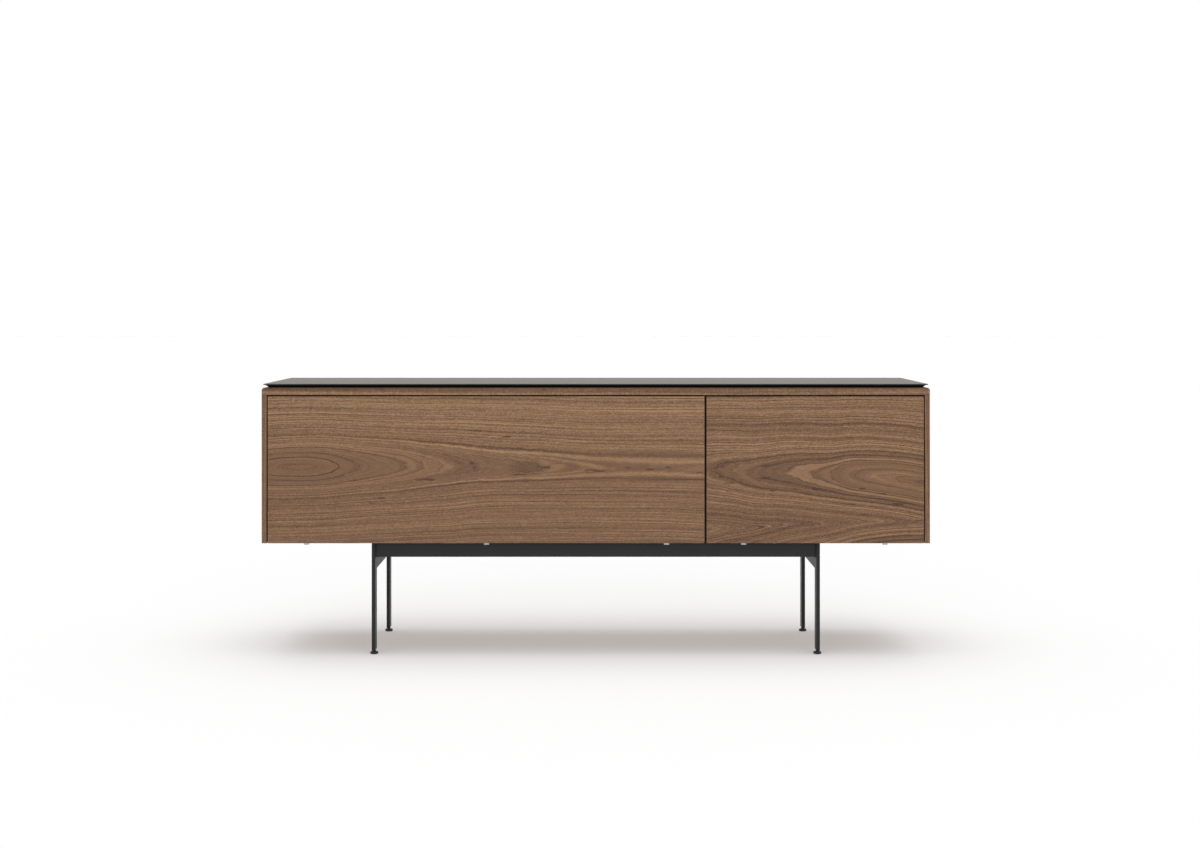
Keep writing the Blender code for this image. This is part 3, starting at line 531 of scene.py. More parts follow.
class Finish:
    """A Principled material whose texture calls add nodes and return the value they end in."""

    def __init__(self, name, roughness, metallic=0.0, specular=0.5):
        self.material = bpy.data.materials.new(name)
        self.material.use_nodes = True
        self.tree = self.material.node_tree
        self.shader = self.tree.nodes["Principled BSDF"].inputs
        self.shader["Roughness"].default_value = roughness
        self.shader["Metallic"].default_value = metallic
        self.shader["Specular IOR Level"].default_value = specular

    def node(self, kind, *inputs, **settings):
        """A new node with these settings, fed in the order of its inputs."""
        node = self.tree.nodes.new(kind)
        for name, value in settings.items():
            setattr(node, name, value)
        for socket, value in zip(node.inputs, inputs):
            feed(socket, value)
        return node

    def place(self):
        """The x, y and z of the point on the piece, in the frame's metres."""
        point = Value(self.node("ShaderNodeTexCoord").outputs["Object"])
        return [Value(axis) for axis in self.node("ShaderNodeSeparateXYZ", point).outputs]

    def vector(self, x, y, z=0.0):
        return Value(self.node("ShaderNodeCombineXYZ", x, y, z).outputs[0])

    def noise(self, vector, scale=1.0, detail=2.0):
        """Noise about zero, mostly within half of one either way."""
        node = self.node("ShaderNodeTexNoise")
        feed(node.inputs["Vector"], vector)
        node.inputs["Scale"].default_value = scale
        node.inputs["Detail"].default_value = detail
        return Value(node.outputs[0]) - 0.5

    def streaks(self, along, across, length, width, seed, detail=2.0):
        """Noise drawn out along the grain, in patches of about that length and width."""
        stretched = self.vector(along * (1 / length), across * (1 / width), seed)
        return self.noise(stretched, detail=detail)

    def wander(self, along, across, strays, seed, spread=1.0):
        """Noise by one of the strays, DOOR_DRIFT and so on, for wood with this seed."""
        length, width, reach, layer = strays
        return self.streaks(along, across, length, width, seed + layer) * (reach / spread)

    def steps(self, value, low, high, start=0.0, end=1.0, smooth=True):
        """A ramp from start to end while the value goes from low to high."""
        kind = "SMOOTHSTEP" if smooth else "LINEAR"
        node = self.node("ShaderNodeMapRange", clamp=True, interpolation_type=kind)
        for socket, number in zip(node.inputs, (value, low, high, start, end)):
            feed(socket, number)
        return Value(node.outputs[0])

    def curve(self, value, points):
        """A smooth curve through (value, result) points, sorted by value."""
        low, high = points[0][0], points[-1][0]
        results = [result for _, result in points]
        least, most = min(results), max(results) + LEAST_RANGE
        node = self.node("ShaderNodeFloatCurve")
        drawn = node.mapping.curves[0].points
        shares = [((x - low) / (high - low), (y - least) / (most - least)) for x, y in points]
        drawn[0].location = shares[0]
        drawn[1].location = shares[-1]
        for share in shares[1:-1]:
            drawn.new(*share)
        for point in drawn:
            point.handle_type = "AUTO_CLAMPED"
        node.mapping.update()
        feed(node.inputs["Value"], self.steps(value, low, high, smooth=False))
        return self.steps(Value(node.outputs[0]), 0.0, 1.0, least, most, smooth=False)

    def ramp(self, value, *colours):
        """A colour that goes evenly from one to the next while the value goes from 0 to 1."""
        node = self.node("ShaderNodeValToRGB", value)
        elements = node.color_ramp.elements
        while len(elements) < len(colours):
            elements.new(0.5)
        for number, colour in enumerate(colours):
            elements[number].position = number / (len(colours) - 1)
            elements[number].color = (*colour, 1.0)
        return Value(node.outputs[0])

    def tinted(self, colour, tint):
        """A colour times another one or times a share."""
        node = self.node("ShaderNodeVectorMath", colour, tint, operation="MULTIPLY")
        return Value(node.outputs[0])

    def mottled(self, noise, colour, dark, pale, reach=0.3):
        """A colour times shares from dark to pale, as noise goes from minus to plus its reach."""
        share = self.steps(noise, -reach, reach, smooth=False)
        ends = [tuple(min(1.0, part * factor) for part in colour) for factor in (dark, pale)]
        return self.ramp(share, *ends)

    def colour(self, value):
        feed(self.shader["Base Color"], value)

    def bump(self, height, distance, strength=1.0):
        node = self.node("ShaderNodeBump")
        node.inputs["Strength"].default_value = strength
        node.inputs["Distance"].default_value = distance
        feed(node.inputs["Height"], height)
        feed(self.shader["Normal"], Value(node.outputs[0]))


def dress(material, *nodes):
    """Gives nodes of the frame a finish."""
    for node in nodes:
        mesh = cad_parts[node].data
        mesh.materials.clear()
        mesh.materials.append(material)


def add_piece(name, bm, material, body):
    """Makes an object from a finished bmesh, which then rides on a body of the frame."""
    mesh = bpy.data.meshes.new(name)
    bm.to_mesh(mesh)
    bm.free()
    mesh.materials.append(material)
    mesh.shade_smooth()
    mesh.set_sharp_from_angle(angle=SHARP_ANGLE)
    obj = bpy.data.objects.new(name, mesh)
    bpy.context.scene.collection.objects.link(obj)
    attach(obj, body)


def wood_colour(finish, tone, hue, shade, painted_shade):
    """Turns a tone into the walnut's colours, darker by a share all over and where shade is
    painted.
    """
    settings = bpy.context.scene.sideboard_veneer
    colours = [
        tuple(part * (1.0 - shade) for part in colour)
        for colour in (settings.dark, settings.middle, settings.light)
    ]
    wood = finish.ramp(finish.steps(tone, -TONE_RANGE, TONE_RANGE, smooth=False), *colours)
    hues = finish.vector(1.0, hue * HUE_GREEN + 1.0, hue * HUE_BLUE + 1.0)
    left = finish.steps(painted_shade, 0.0, 1.0, 1.0, 1.0 - PAINTED_SHADE_STRENGTH, smooth=False)
    finish.colour(finish.tinted(finish.tinted(wood, hues), left))


def wood_grain(finish, along, across, distance, seed):
    """The tone, the pores and the wandering hue of plain veneer.

    along and across are places on the board; distance is how far its year rings are from the
    heart, which is the same as across where the rings run straight.
    """
    tone = 0.0
    for number, (line, length, width, strength, detail) in enumerate(GRAIN):
        place = distance if line == "ring" else across
        layer = seed + GRAIN_SEED * number
        tone = finish.streaks(along, place, length, width, layer, detail) * strength + tone
    pores = finish.steps(finish.streaks(along, across, *PORE_SIZE, seed - GRAIN_SEED), *PORE_EDGES)
    hue = finish.streaks(along, across, *HUE_SIZE, seed - 2 * GRAIN_SEED)
    return tone - pores * PORE_TONE, pores, hue


def finish_wood(finish, tone, pores, hue, shade, painted_shade):
    """Colours the wood and sinks its pores."""
    wood_colour(finish, tone, hue, shade, painted_shade)
    finish.bump(pores * -1.0, PORE_RELIEF)


def slopes(points):
    """The slope of a curve, at the middles between its points."""
    return tuple(
        ((x0 + x1) / 2, (y1 - y0) / (x1 - x0)) for (x0, y0), (x1, y1) in zip(points, points[1:])
    )


def ring_distance(finish, figure, x, across, seed):
    """How far the wood lies from the rings' heart, and how fast that grows over the surface."""
    drift = finish.wander(x, across, DOOR_DRIFT, seed)
    wobble = finish.wander(x, across, DOOR_WOBBLE, seed)
    ripple = finish.wander(x, across, DOOR_RIPPLE, seed)
    level = figure["heart"][0][1]
    rise = finish.curve(x, figure["heart"]) - level
    calm = finish.steps(across, *CALM_EDGES, 1.0, CALM_END)
    offset = (across - level) - (rise - drift) * calm
    lively = finish.steps(abs(offset), *LIVELY_EDGES, 1.0, LIVELY_END)
    offset = offset + (wobble + ripple) * lively
    above = finish.curve(x, figure["above"])
    below = finish.curve(x, figure["below"])
    widening = finish.steps(offset, -WIDENING_BLUR, WIDENING_BLUR, below, above)
    within = maths("MINIMUM", maths("MAXIMUM", offset, -WIDENED), WIDENED)
    offset = offset - (within - within / widening)
    if figure["fold"]:
        fold = finish.curve(x, figure["fold"]) * -1.0
        beyond = offset - fold
        offset = fold + maths("SQRT", beyond * beyond + FOLD_ROUNDING)
    roughness = finish.wander(x, across, DEPTH_ROUGHNESS, seed) * finish.curve(x, figure["uneven"])
    depth = finish.curve(x, figure["depth"]) + roughness
    distance = maths("SQRT", depth * depth + offset * offset)
    lengthwise = depth * finish.curve(x, slopes(figure["depth"]))
    growth = maths("SQRT", offset * offset + lengthwise * lengthwise) / distance
    return distance, maths("MAXIMUM", growth, LEAST_GROWTH)


def figure_tone(finish, figure, x, across, seed, distance, growth):
    """The tones of the crown figure: its broad bands, its thin rings and its short streaks."""
    rings = finish.curve(distance, figure["bands"])
    fade = maths("MAXIMUM", finish.wander(x, across, RING_FADE, seed) + 1.0, LEAST_FADE)
    for place, width, strength in figure["lines"]:
        away = abs((distance - place) / growth)
        rings = rings + finish.steps(away, 0.0, width, strength, 0.0) * fade
    clear = finish.steps(distance, *OUTER_RINGS, 1.0, finish.curve(x, figure["outer"]))
    tone = rings * clear
    bent = across + finish.wander(x, across, MARK_BEND, seed)
    for mark_x, mark_z, length, height, strength in figure["marks"]:
        place = bent if length < STRAIGHT_MARK else across
        along_mark = (x - mark_x) * (1 / length)
        across_mark = (place - mark_z) * (1 / height)
        reach = along_mark * along_mark + across_mark * across_mark
        tone = tone + finish.steps(reach, 0.0, 1.0, strength, 0.0)
    return tone


def painted_door_edge_shade(finish, node, x, y, z):
    """Painted shade: one on a door's edges behind its front and on outer arrises, else zero."""
    low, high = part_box(node)
    middle = (low + high) / 2
    half = (high - low) / 2
    outward = maths("MAXIMUM", abs(x - middle.x) - half.x, abs(z - middle.z) - half.z)
    edge = finish.steps(outward, -PAINTED_SHADE_IN, PAINTED_SHADE_BLUR - PAINTED_SHADE_IN)
    left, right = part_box("left_door")[0].x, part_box("right_door")[1].x
    past_side = abs(x - (left + right) / 2) - ((right - left) / 2 - ARRIS_SIDE)
    past_top = z - (high.z - ARRIS_TOP)
    arris = finish.steps(maths("MAXIMUM", past_side, past_top), 0.0, PAINTED_SHADE_BLUR)
    return maths("MAXIMUM", arris, edge * behind_front(finish, y))


def behind_front(finish, y):
    """One behind the doors' front face, and zero on it."""
    back = FRONT + PAINTED_SHADE_BACK
    return finish.steps(y, back - PAINTED_SHADE_BLUR, back)


def painted_reveal_shade(finish, x, y, z):
    """Painted shade, one on the boards round the doors as far back as the divider's front edge."""
    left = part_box("left_side")[1].x - PAINTED_SHADE_BLUR
    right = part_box("right_side")[0].x + PAINTED_SHADE_BLUR
    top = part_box("top_board")[0].z + PAINTED_SHADE_BLUR
    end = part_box("divider")[0].y + PAINTED_SHADE_BLUR
    inside = maths("LESS_THAN", abs(x - (left + right) / 2), (right - left) / 2)
    below = maths("LESS_THAN", z, top)
    before = finish.steps(y, end, end + PAINTED_SHADE_BLUR, 1.0, 0.0)
    return inside * below * (before * behind_front(finish, y))


def door_veneer(name, seed):
    """Walnut with a crown figure, whose rings nest round the heart as they do in a flat cut."""
    settings = bpy.context.scene.sideboard_veneer
    figure = FIGURES[name]
    finish = Finish(name + "_door_veneer", settings.roughness, specular=LACQUER_SPECULAR)
    x, y, z = finish.place()
    across = z + (y - FRONT) * GRAIN_LEAN
    distance, growth = ring_distance(finish, figure, x, across, seed)
    grain, pores, hue = wood_grain(finish, x, across, distance, seed)
    quiet = finish.steps(distance, *QUIET_EDGES, FIGURE_QUIET, 1.0)
    flat = finish.steps(growth, *FLAT_EDGES, FLAT_QUIET, 1.0)
    tone = grain * (quiet * (flat * finish.curve(z, CONTRAST)))
    # A broad tone by height, paler towards the top, partly painted light from above
    tone = tone + finish.curve(across, figure["shade"])
    tone = tone + figure_tone(finish, figure, x, across, seed, distance, growth)
    # Painted shade on the door's hidden edges and on the doors' outer arrises
    finish_wood(finish, tone, pores, hue, 0.0, painted_door_edge_shade(finish, name + "_door", x, y, z))
    return finish.material


def board_veneer(name, along_axis, seed, shade=0.0, spread=1.0, rim=None):
    """Straight-grained walnut, with its grain along X or Z and rings that show on every face.

    spread widens the grain upwards on lying boards. rim is the height of an edge that gets
    painted shade, as under the cover plate.
    """
    settings = bpy.context.scene.sideboard_veneer
    finish = Finish(name, settings.roughness, specular=LACQUER_SPECULAR)
    x, y, z = finish.place()
    if along_axis == "X":
        along, across = x, z * (1 / spread) + y * GRAIN_LEAN
    else:
        along, across = z, y + x * GRAIN_LEAN
    drift = finish.wander(along, across, BOARD_DRIFT, seed, spread)
    wobble = finish.wander(along, across, BOARD_WOBBLE, seed, spread)
    tone, pores, hue = wood_grain(finish, along, across, across + drift + wobble, seed)
    # Painted shade in the gaps round the doors
    painted_shade = painted_reveal_shade(finish, x, y, z)
    # Painted shade under the cover plate along the top board's upper edge
    if rim is not None:
        shaded = finish.steps(z, rim - RIM_HEIGHT, rim, 0.0, RIM_SHARE)
        painted_shade = maths("MAXIMUM", painted_shade, shaded)
    finish_wood(finish, tone * BOARD_CONTRAST, pores, hue, shade, painted_shade)
    return finish.material


def powder_coat(name, colour):
    """Fine-textured powder coat: an orange-peel relief and a faint speckle."""
    finish = Finish(name, COAT_ROUGHNESS, specular=COAT_SPECULAR)
    position = finish.vector(*finish.place())
    speckle = finish.noise(position, scale=2400.0, detail=1.0)
    finish.colour(finish.mottled(speckle, colour, dark=0.85, pale=1.15))
    finish.bump(finish.noise(position, scale=900.0), distance=0.00012, strength=0.6)
    return finish.material


def matt_plastic(name, colour, roughness):
    """Moulded plastic with a fine spark-eroded grain."""
    finish = Finish(name, roughness)
    position = finish.vector(*finish.place())
    mottle = finish.noise(position, scale=160.0, detail=3.0)
    finish.colour(finish.mottled(mottle, colour, dark=0.9, pale=1.1))
    finish.bump(finish.noise(position, scale=3000.0, detail=1.0), distance=0.00003, strength=0.5)
    return finish.material


def plated_steel(name, colour, roughness, brushed_along):
    """Plated steel with the faint lines of its rolling or drawing along one axis."""
    finish = Finish(name, roughness, metallic=1.0)
    x, y, z = finish.place()
    along, across = {
        "X": (x, y + z),
        "Y": (y, x + z),
        "Z": (z, x + y),
    }[brushed_along]
    lines = finish.streaks(along, across, *BRUSH_LINES)
    finish.colour(finish.mottled(lines, colour, dark=0.86, pale=1.0))
    finish.bump(lines, distance=0.00001, strength=0.5)
    return finish.material


def satin_plate(name, colour, roughness, top):
    """The cover plate's satin surface, with a faint cloud in its colour and darker edges."""
    finish = Finish(name, roughness)
    x, y, z = finish.place()
    position = finish.vector(x, y, z)
    cloud = finish.noise(position, scale=9.0, detail=4.0) * 0.7
    cloud = cloud + finish.noise(position, scale=420.0) * 0.3
    satin = finish.mottled(cloud, colour, dark=0.93, pale=1.07, reach=0.25)
    edge = finish.steps(z, top - PLATE_DARK_EDGE, top - PLATE_DARK_EDGE / 2, PLATE_DARK_EDGE_SHARE, 1.0)
    finish.colour(finish.tinted(satin, edge))
    finish.bump(finish.noise(position, scale=1500.0, detail=1.0), distance=0.00002, strength=0.4)
    return finish.material


def nodes_with(*words):
    """The frame's nodes whose names hold every one of the words, sorted."""
    return sorted(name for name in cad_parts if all(word in name for word in words))


class SIDEBOARD_OT_veneer_doors(bpy.types.Operator):
    """Veneer both doors with the crown figure"""

    bl_idname = "sideboard.veneer_doors"
    bl_label = "Veneer doors"

    def execute(self, context):
        for name, seed in DOOR_SEEDS.items():
            dress(door_veneer(name, seed), name + "_door")
        return {"FINISHED"}


class SIDEBOARD_OT_veneer_carcass(bpy.types.Operator):
    """Veneer the top board and the two sides"""

    bl_idname = "sideboard.veneer_carcass"
    bl_label = "Veneer carcass"

    def execute(self, context):
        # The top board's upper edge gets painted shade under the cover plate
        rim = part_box("top_board")[1].z
        top = board_veneer("top_veneer", "X", seed=17.0, shade=0.07, spread=4.0, rim=rim)
        dress(top, "top_board")
        dress(board_veneer("left_side_veneer", "Z", seed=29.0, shade=0.15), "left_side")
        dress(board_veneer("right_side_veneer", "Z", seed=53.0), "right_side")
        return {"FINISHED"}


class SIDEBOARD_OT_veneer_inside(bpy.types.Operator):
    """Veneer the inner boards, the shelves and the backs"""

    bl_idname = "sideboard.veneer_inside"
    bl_label = "Veneer inside"

    def execute(self, context):
        shade = context.scene.sideboard_veneer.inside_shade
        lying = board_veneer("inner_veneer", "X", seed=71.0, shade=shade)
        dress(lying, "bottom_panel", "left_shelf", "right_shelf")
        upright = board_veneer("upright_veneer", "Z", seed=83.0, shade=shade)
        dress(upright, "divider", "left_back", "right_back")
        return {"FINISHED"}


class SIDEBOARD_OT_finish_cover(bpy.types.Operator):
    """Finish the cover plate and the spacer under it"""

    bl_idname = "sideboard.finish_cover"
    bl_label = "Finish cover"

    def execute(self, context):
        settings = context.scene.sideboard_cover
        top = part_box("top_plate")[1].z
        dress(satin_plate("cover_satin", settings.plate, roughness=0.5, top=top), "top_plate")
        dress(matt_plastic("spacer_black", settings.spacer, roughness=0.7), "plate_spacer")
        return {"FINISHED"}


class SIDEBOARD_OT_finish_base(bpy.types.Operator):
    """Powder-coat the steel base and finish its feet"""

    bl_idname = "sideboard.finish_base"
    bl_label = "Finish base"

    def execute(self, context):
        settings = context.scene.sideboard_metal
        coat = powder_coat("graphite_coat", settings.powder_coat)
        dress(coat, *nodes_with("_beam"), *nodes_with("_side_rail"))
        # The legs' coat is the beams' powder coat painted darker, as painted shade
        dress(powder_coat("leg_coat_painted_shade", settings.legs), *nodes_with("_leg"))
        dress(matt_plastic("foot_plastic", FOOT_BLACK, roughness=0.6), *nodes_with("_foot"))
        for row in ("front", "rear"):
            for side in ("left", "right"):
                weld_bead(row, side, coat)
        return {"FINISHED"}


def bridge(bm, ring, other):
    """Faces between two closed rings of as many vertices."""
    for i in range(len(ring)):
        j = (i + 1) % len(ring)
        bm.faces.new((ring[i], ring[j], other[j], other[i]))


def round_ring(bm, turn, radius, height):
    """A circle of vertices at a height over the plane that the turn lays down."""
    angles = [2 * math.pi * i / HEAD_SIDES for i in range(HEAD_SIDES)]
    return [
        bm.verts.new(turn @ Vector((radius * math.cos(angle), radius * math.sin(angle), height)))
        for angle in angles
    ]


def weld_bead(row, side, coat):
    """The fillet weld round the end of a beam where it meets its leg."""
    beam_low, beam_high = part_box(row + "_beam")
    leg_low, leg_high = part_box(f"{row}_{side}_leg")
    inward = 1.0 if side == "left" else -1.0
    face = leg_high.x if side == "left" else leg_low.x
    top = beam_high.z - BEAM_TAB_HEIGHT
    middle_y = (beam_low.y + beam_high.y) / 2
    middle_z = (beam_low.z + top) / 2
    half_y = (beam_high.y - beam_low.y) / 2 - BEAM_CORNER
    half_z = (top - beam_low.z) / 2 - BEAM_CORNER
    bm = bmesh.new()
    rings = []
    for step in range(WELD_STEPS + 1):
        turn = math.radians(90.0 * step / WELD_STEPS)
        out = BEAM_CORNER + WELD_SIZE * (1.0 - math.sin(turn))
        away = WELD_SIZE * (1.0 - math.cos(turn))
        ring = []
        for corner, (sign_y, sign_z) in enumerate(((1, 1), (-1, 1), (-1, -1), (1, -1))):
            for part in range(WELD_STEPS + 1):
                angle = math.radians(90.0 * (corner + part / WELD_STEPS))
                place = (
                    face + inward * away,
                    middle_y + sign_y * half_y + out * math.cos(angle),
                    middle_z + sign_z * half_z + out * math.sin(angle),
                )
                ring.append(bm.verts.new(place))
        rings.append(ring)
    for ring, other in zip(rings, rings[1:]):
        bridge(bm, ring, other)
    bridge(bm, rings[-1], rings[0])
    bmesh.ops.recalc_face_normals(bm, faces=bm.faces)
    add_piece(f"{row}_{side}_weld", bm, coat, "carcass")


def screw_head(bm, place, out, radius, twist):
    """A pan head with a cross recess, standing on a surface that faces the way out."""
    turn = Matrix.Translation(place) @ Vector(out).to_track_quat("Z", "Y").to_matrix().to_4x4()
    turn = turn @ Matrix.Rotation(math.radians(twist), 4, "Z")
    height = radius * HEAD_HEIGHT
    rim = round_ring(bm, turn, radius, 0.0)
    for share, rise in HEAD_PROFILE:
        ring = round_ring(bm, turn, radius * share, height * rise)
        bridge(bm, rim, ring)
        rim = ring
    arm, half = radius * CROSS_ARM, radius * CROSS_WIDTH / 2
    cross = ((half, half), (half, arm), (-half, arm), (-half, half), (-arm, half), (-arm, -half))
    outline = [*cross, *((-x, -y) for x, y in cross)]
    mouth = [bm.verts.new(turn @ Vector((x, y, height))) for x, y in outline]
    depth = height * (1.0 - CROSS_DEPTH)
    corners = [(x * CROSS_FLOOR, y * CROSS_FLOOR, depth) for x, y in outline]
    floor = [bm.verts.new(turn @ Vector(corner)) for corner in corners]
    bridge(bm, mouth, floor)
    bm.faces.new(floor)
    edges = []
    for ring in (rim, mouth):
        for i in range(len(ring)):
            vertices = (ring[i], ring[(i + 1) % len(ring)])
            edges.append(bm.edges.get(vertices) or bm.edges.new(vertices))
    bmesh.ops.triangle_fill(bm, edges=edges, use_beauty=True)


def add_screws(node, material, body, radius, out, places):
    """A node's screws, which face the same way with their recesses turned at random."""
    name = node + "_screws"
    bm = bmesh.new()
    turns = random.Random(name)
    for place in places:
        screw_head(bm, place, out, radius, turns.uniform(0.0, 90.0))
    bmesh.ops.recalc_face_normals(bm, faces=bm.faces)
    add_piece(name, bm, material, body)


def either_side(middle, reach):
    """The places so far before and behind the middle."""
    return (middle - reach, middle + reach)


def hinge_screws(material, radius):
    for node in nodes_with("_hinge_", "_leaf"):
        low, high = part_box(node)
        across = either_side((low.x + high.x) / 2, LEAF_HOLE_SPACING / 2)
        if "_cabinet_" in node:
            y, z = high.y - LEAF_HOLE_END, high.z - LEAF_THICKNESS
            out, body = (0, 0, -1), "carcass"
        else:
            y, z = low.y + LEAF_THICKNESS, high.z - LEAF_HOLE_END
            out, body = (0, 1, 0), node.split("_")[0] + "_flap"
        add_screws(node, material, body, radius, out, [(x, y, z) for x in across])


def stay_screws(material, radius):
    """Two screws through each stay's plate into its board, and two through its bracket.

    Those in the plate lie almost flush, so that the brake swings over them.
    """
    sunk = radius * HEAD_HEIGHT - STAY_SCREW_PROUD
    for node in nodes_with("_stay_", "_plate"):
        low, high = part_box(node)
        stay = node.removesuffix("_plate")
        on_left = stay.endswith("_left")
        x = low.x + STAY_PLATE - sunk if on_left else high.x - STAY_PLATE + sunk
        out = (1, 0, 0) if on_left else (-1, 0, 0)
        z = high.z - STAY_HOLE_DOWN
        across = either_side((low.y + high.y) / 2, STAY_HOLE_SPACING / 2)
        add_screws(node, material, "carcass", radius, out, [(x, y, z) for y in across])
        bracket = stay + "_door_bracket"
        low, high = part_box(bracket)
        x = low.x + BRACKET_HOLE_IN if on_left else high.x - BRACKET_HOLE_IN
        y = low.y + STAY_PLATE
        places = [(x, y, z) for z in either_side((low.z + high.z) / 2, BRACKET_HOLE_SPACING / 2)]
        flap = node.split("_")[0] + "_flap"
        add_screws(bracket, material, flap, radius, (0, 1, 0), places)


def latch_screws(material, radius):
    for node in nodes_with("_latch_body"):
        low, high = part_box(node)
        y, z = (low.y + high.y) / 2, high.z - LATCH_EAR
        across = either_side((low.x + high.x) / 2, LATCH_HOLE_SPACING / 2)
        places = [(x, y, z) for x in across]
        add_screws(node, material, "carcass", radius, (0, 0, -1), places)


def rail_screws(material, radius):
    for node in nodes_with("_side_rail"):
        low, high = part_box(node)
        x = high.x - RAIL_HOLE_IN if node.startswith("left") else low.x + RAIL_HOLE_IN
        z = high.z - RAIL_FLANGE
        depths = (low.y + RAIL_HOLE_END, 0.0, high.y - RAIL_HOLE_END)
        places = [(x, y, z) for y in depths]
        add_screws(node, material, "carcass", radius, (0, 0, -1), places)


def back_screws(material, radius):
    """Screws round the edges of each back panel."""
    for node in nodes_with("_back"):
        low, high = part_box(node)
        start, end = low.x + BACK_SCREW_EDGE, high.x - BACK_SCREW_EDGE
        count = math.ceil((end - start) / BACK_SCREW_SPACING)
        places = []
        for i in range(count + 1):
            x = start + (end - start) * i / count
            places += [(x, high.y, low.z + BACK_SCREW_EDGE), (x, high.y, high.z - BACK_SCREW_EDGE)]
        middle = (low.z + high.z) / 2
        places += [(start, high.y, middle), (end, high.y, middle)]
        add_screws(node, material, "carcass", radius, (0, 1, 0), places)


class SIDEBOARD_OT_add_screws(bpy.types.Operator):
    """Screw the fittings, the base and the backs on"""

    bl_idname = "sideboard.add_screws"
    bl_label = "Add screws"

    def execute(self, context):
        settings = context.scene.sideboard_metal
        radius = settings.screw_radius
        zinc = plated_steel("screw_zinc", settings.zinc, roughness=0.28, brushed_along="Z")
        hinge_screws(zinc, radius)
        stay_screws(zinc, radius)
        latch_screws(zinc, radius)
        back_screws(zinc, radius)
        rail_screws(zinc, radius * RAIL_SCREW_SHARE)
        return {"FINISHED"}


class SIDEBOARD_OT_finish_fittings(bpy.types.Operator):
    """Finish the hinges, the brake stays and the latches"""

    bl_idname = "sideboard.finish_fittings"
    bl_label = "Finish fittings"

    def execute(self, context):
        settings = context.scene.sideboard_metal
        nickel = plated_steel("satin_nickel", settings.nickel, roughness=0.34, brushed_along="X")
        plates = nodes_with("_leaf") + nodes_with("_stay_", "_plate") + nodes_with("_bracket")
        dress(nickel, *plates)
        zinc = plated_steel("bright_zinc", settings.zinc, roughness=0.24, brushed_along="Y")
        dress(zinc, *nodes_with("_rod"), *nodes_with("_striker"))
        pins = plated_steel("pin_zinc", settings.zinc, roughness=0.30, brushed_along="X")
        dress(pins, *nodes_with("_hinge_", "_pin"))
        black = matt_plastic("brake_black", BRAKE_BLACK, roughness=0.5)
        dress(black, *nodes_with("_brake"), *nodes_with("_plunger"))
        grey = matt_plastic("latch_grey", LATCH_GREY, roughness=0.5)
        dress(grey, *nodes_with("_latch_body"))
        return {"FINISHED"}


def seen_ray(tree):
    """One where a ray comes from the camera or by way of a mirror or glass, and zero elsewhere."""
    path = tree.nodes.new("ShaderNodeLightPath").outputs
    seen = Value(path["Is Camera Ray"])
    for name in ("Is Glossy Ray", "Is Transmission Ray"):
        seen = maths("MAXIMUM", seen, Value(path[name]))
    return seen


def studio_floor():
    """A wide pale floor, white where nothing shades it, with a painted warm tint in its shadow."""
    bm = bmesh.new()
    bmesh.ops.create_grid(bm, x_segments=1, y_segments=1, size=FLOOR_REACH)
    mesh = bpy.data.meshes.new("studio_floor")
    bm.to_mesh(mesh)
    bm.free()
    floor = bpy.data.objects.new("studio_floor", mesh)
    bpy.context.scene.collection.objects.link(floor)
    floor.location.z = -FLOOR_GAP
    finish = Finish("floor_paint", FLOOR_ROUGHNESS, specular=0.0)
    seen = seen_ray(finish.tree)
    levels = (
        finish.steps(seen, 0.0, 1.0, FLOOR_BOUNCE, shaded, smooth=False)
        for shaded in FLOOR_SHADED
    )
    finish.colour(finish.vector(*levels))
    # The warm glow paints a warm tint into the floor's shadow
    finish.shader["Emission Color"].default_value = FLOOR_GLOW_PAINTED_TINT
    feed(finish.shader["Emission Strength"], seen * FLOOR_GLOW)
    floor.data.materials.append(finish.material)


def studio_world(settings):
    """Soft light from all round and more from overhead, over a backdrop that looks white."""
    world = bpy.data.worlds.new("studio")
    bpy.context.scene.world = world
    world.use_nodes = True
    tree = world.node_tree
    background = tree.nodes["Background"]
    background.inputs["Color"].default_value = (1.0, 1.0, 1.0, 1.0)
    direction = Value(tree.nodes.new("ShaderNodeTexCoord").outputs["Generated"])
    lean = tree.nodes.new("ShaderNodeVectorMath")
    lean.operation = "DOT_PRODUCT"
    feed(lean.inputs[0], direction)
    feed(lean.inputs[1], (0.0, -math.sin(settings.tilt), math.cos(settings.tilt)))
    height = maths("MAXIMUM", Value(lean.outputs["Value"]), 0.0)
    light = maths("POWER", height, settings.focus) * settings.zenith + settings.sky
    seen = seen_ray(tree)
    feed(background.inputs["Strength"], (1.0 - seen) * light + seen)


def fill_light(strength):
    """A wide light from the front, a little above level, that reaches as far as the floor does."""
    data = bpy.data.lights.new("fill_light", "SUN")
    data.energy = strength
    data.angle = FILL_SPREAD
    light = bpy.data.objects.new("fill_light", data)
    bpy.context.scene.collection.objects.link(light)
    light.rotation_euler = (math.radians(90.0) - FILL_HEIGHT, 0.0, 0.0)


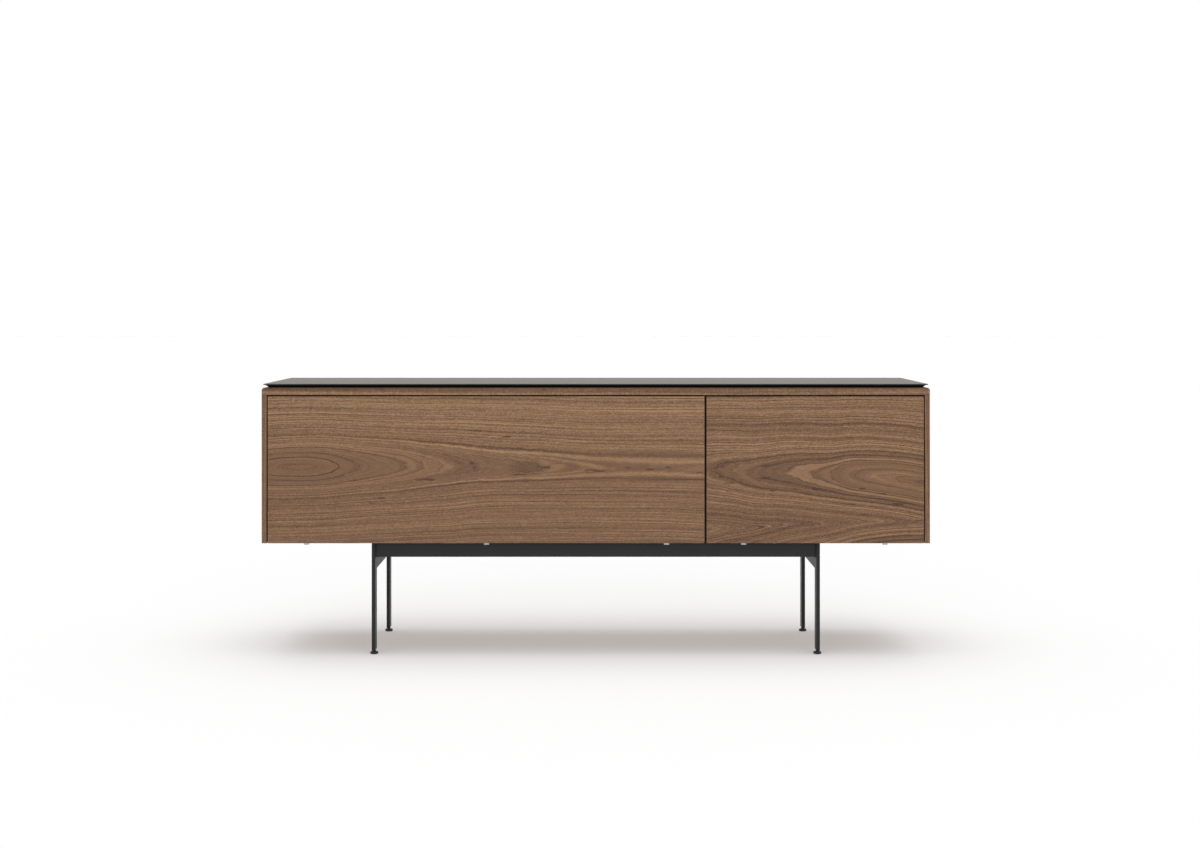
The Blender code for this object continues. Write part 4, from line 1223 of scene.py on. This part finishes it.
class SIDEBOARD_OT_build_stage(bpy.types.Operator):
    """Set up the floor, the light and the camera"""

    bl_idname = "sideboard.build_stage"
    bl_label = "Build stage"

    def execute(self, context):
        settings = context.scene.sideboard_studio
        context.scene.view_settings.view_transform = "Standard"
        studio_floor()
        studio_world(settings)
        fill_light(settings.fill)
        data = bpy.data.cameras.new("studio_camera")
        data.lens = settings.lens
        data.shift_x = settings.shift_x
        data.shift_y = settings.shift_y
        camera = bpy.data.objects.new("studio_camera", data)
        context.scene.collection.objects.link(camera)
        camera.location = (0.0, -settings.distance, settings.height)
        camera.rotation_euler = (math.radians(90.0), 0.0, 0.0)
        context.scene.camera = camera
        return {"FINISHED"}


STEPS = (
    SIDEBOARD_OT_build_stage,
    SIDEBOARD_OT_veneer_doors,
    SIDEBOARD_OT_veneer_carcass,
    SIDEBOARD_OT_veneer_inside,
    SIDEBOARD_OT_finish_cover,
    SIDEBOARD_OT_finish_base,
    SIDEBOARD_OT_finish_fittings,
    SIDEBOARD_OT_add_screws,
)

SETTINGS = {
    "sideboard_veneer": SIDEBOARD_PG_veneer,
    "sideboard_metal": SIDEBOARD_PG_metal,
    "sideboard_cover": SIDEBOARD_PG_cover,
    "sideboard_studio": SIDEBOARD_PG_studio,
}


class SIDEBOARD_PT_main(bpy.types.Panel):
    """The sideboard's settings and the steps that dress it"""

    bl_idname = "SIDEBOARD_PT_main"
    bl_label = "Sideboard"
    bl_space_type = "VIEW_3D"
    bl_region_type = "UI"
    bl_category = "Sideboard"

    def draw(self, context):
        for step in STEPS:
            self.layout.operator(step.bl_idname)
        for name, group in SETTINGS.items():
            box = self.layout.box()
            for setting in group.__annotations__:
                box.prop(getattr(context.scene, name), setting)


CLASSES = (*SETTINGS.values(), *STEPS, SIDEBOARD_PT_main)


def register():
    for item in CLASSES:
        bpy.utils.register_class(item)
    for name, group in SETTINGS.items():
        setattr(bpy.types.Scene, name, bpy.props.PointerProperty(type=group))


def unregister():
    for name in SETTINGS:
        delattr(bpy.types.Scene, name)
    for item in reversed(CLASSES):
        bpy.utils.unregister_class(item)


def main():
    register()
    for step in STEPS:
        group, operator = step.bl_idname.split(".")
        getattr(getattr(bpy.ops, group), operator)()


if __name__ == "__main__":
    main()
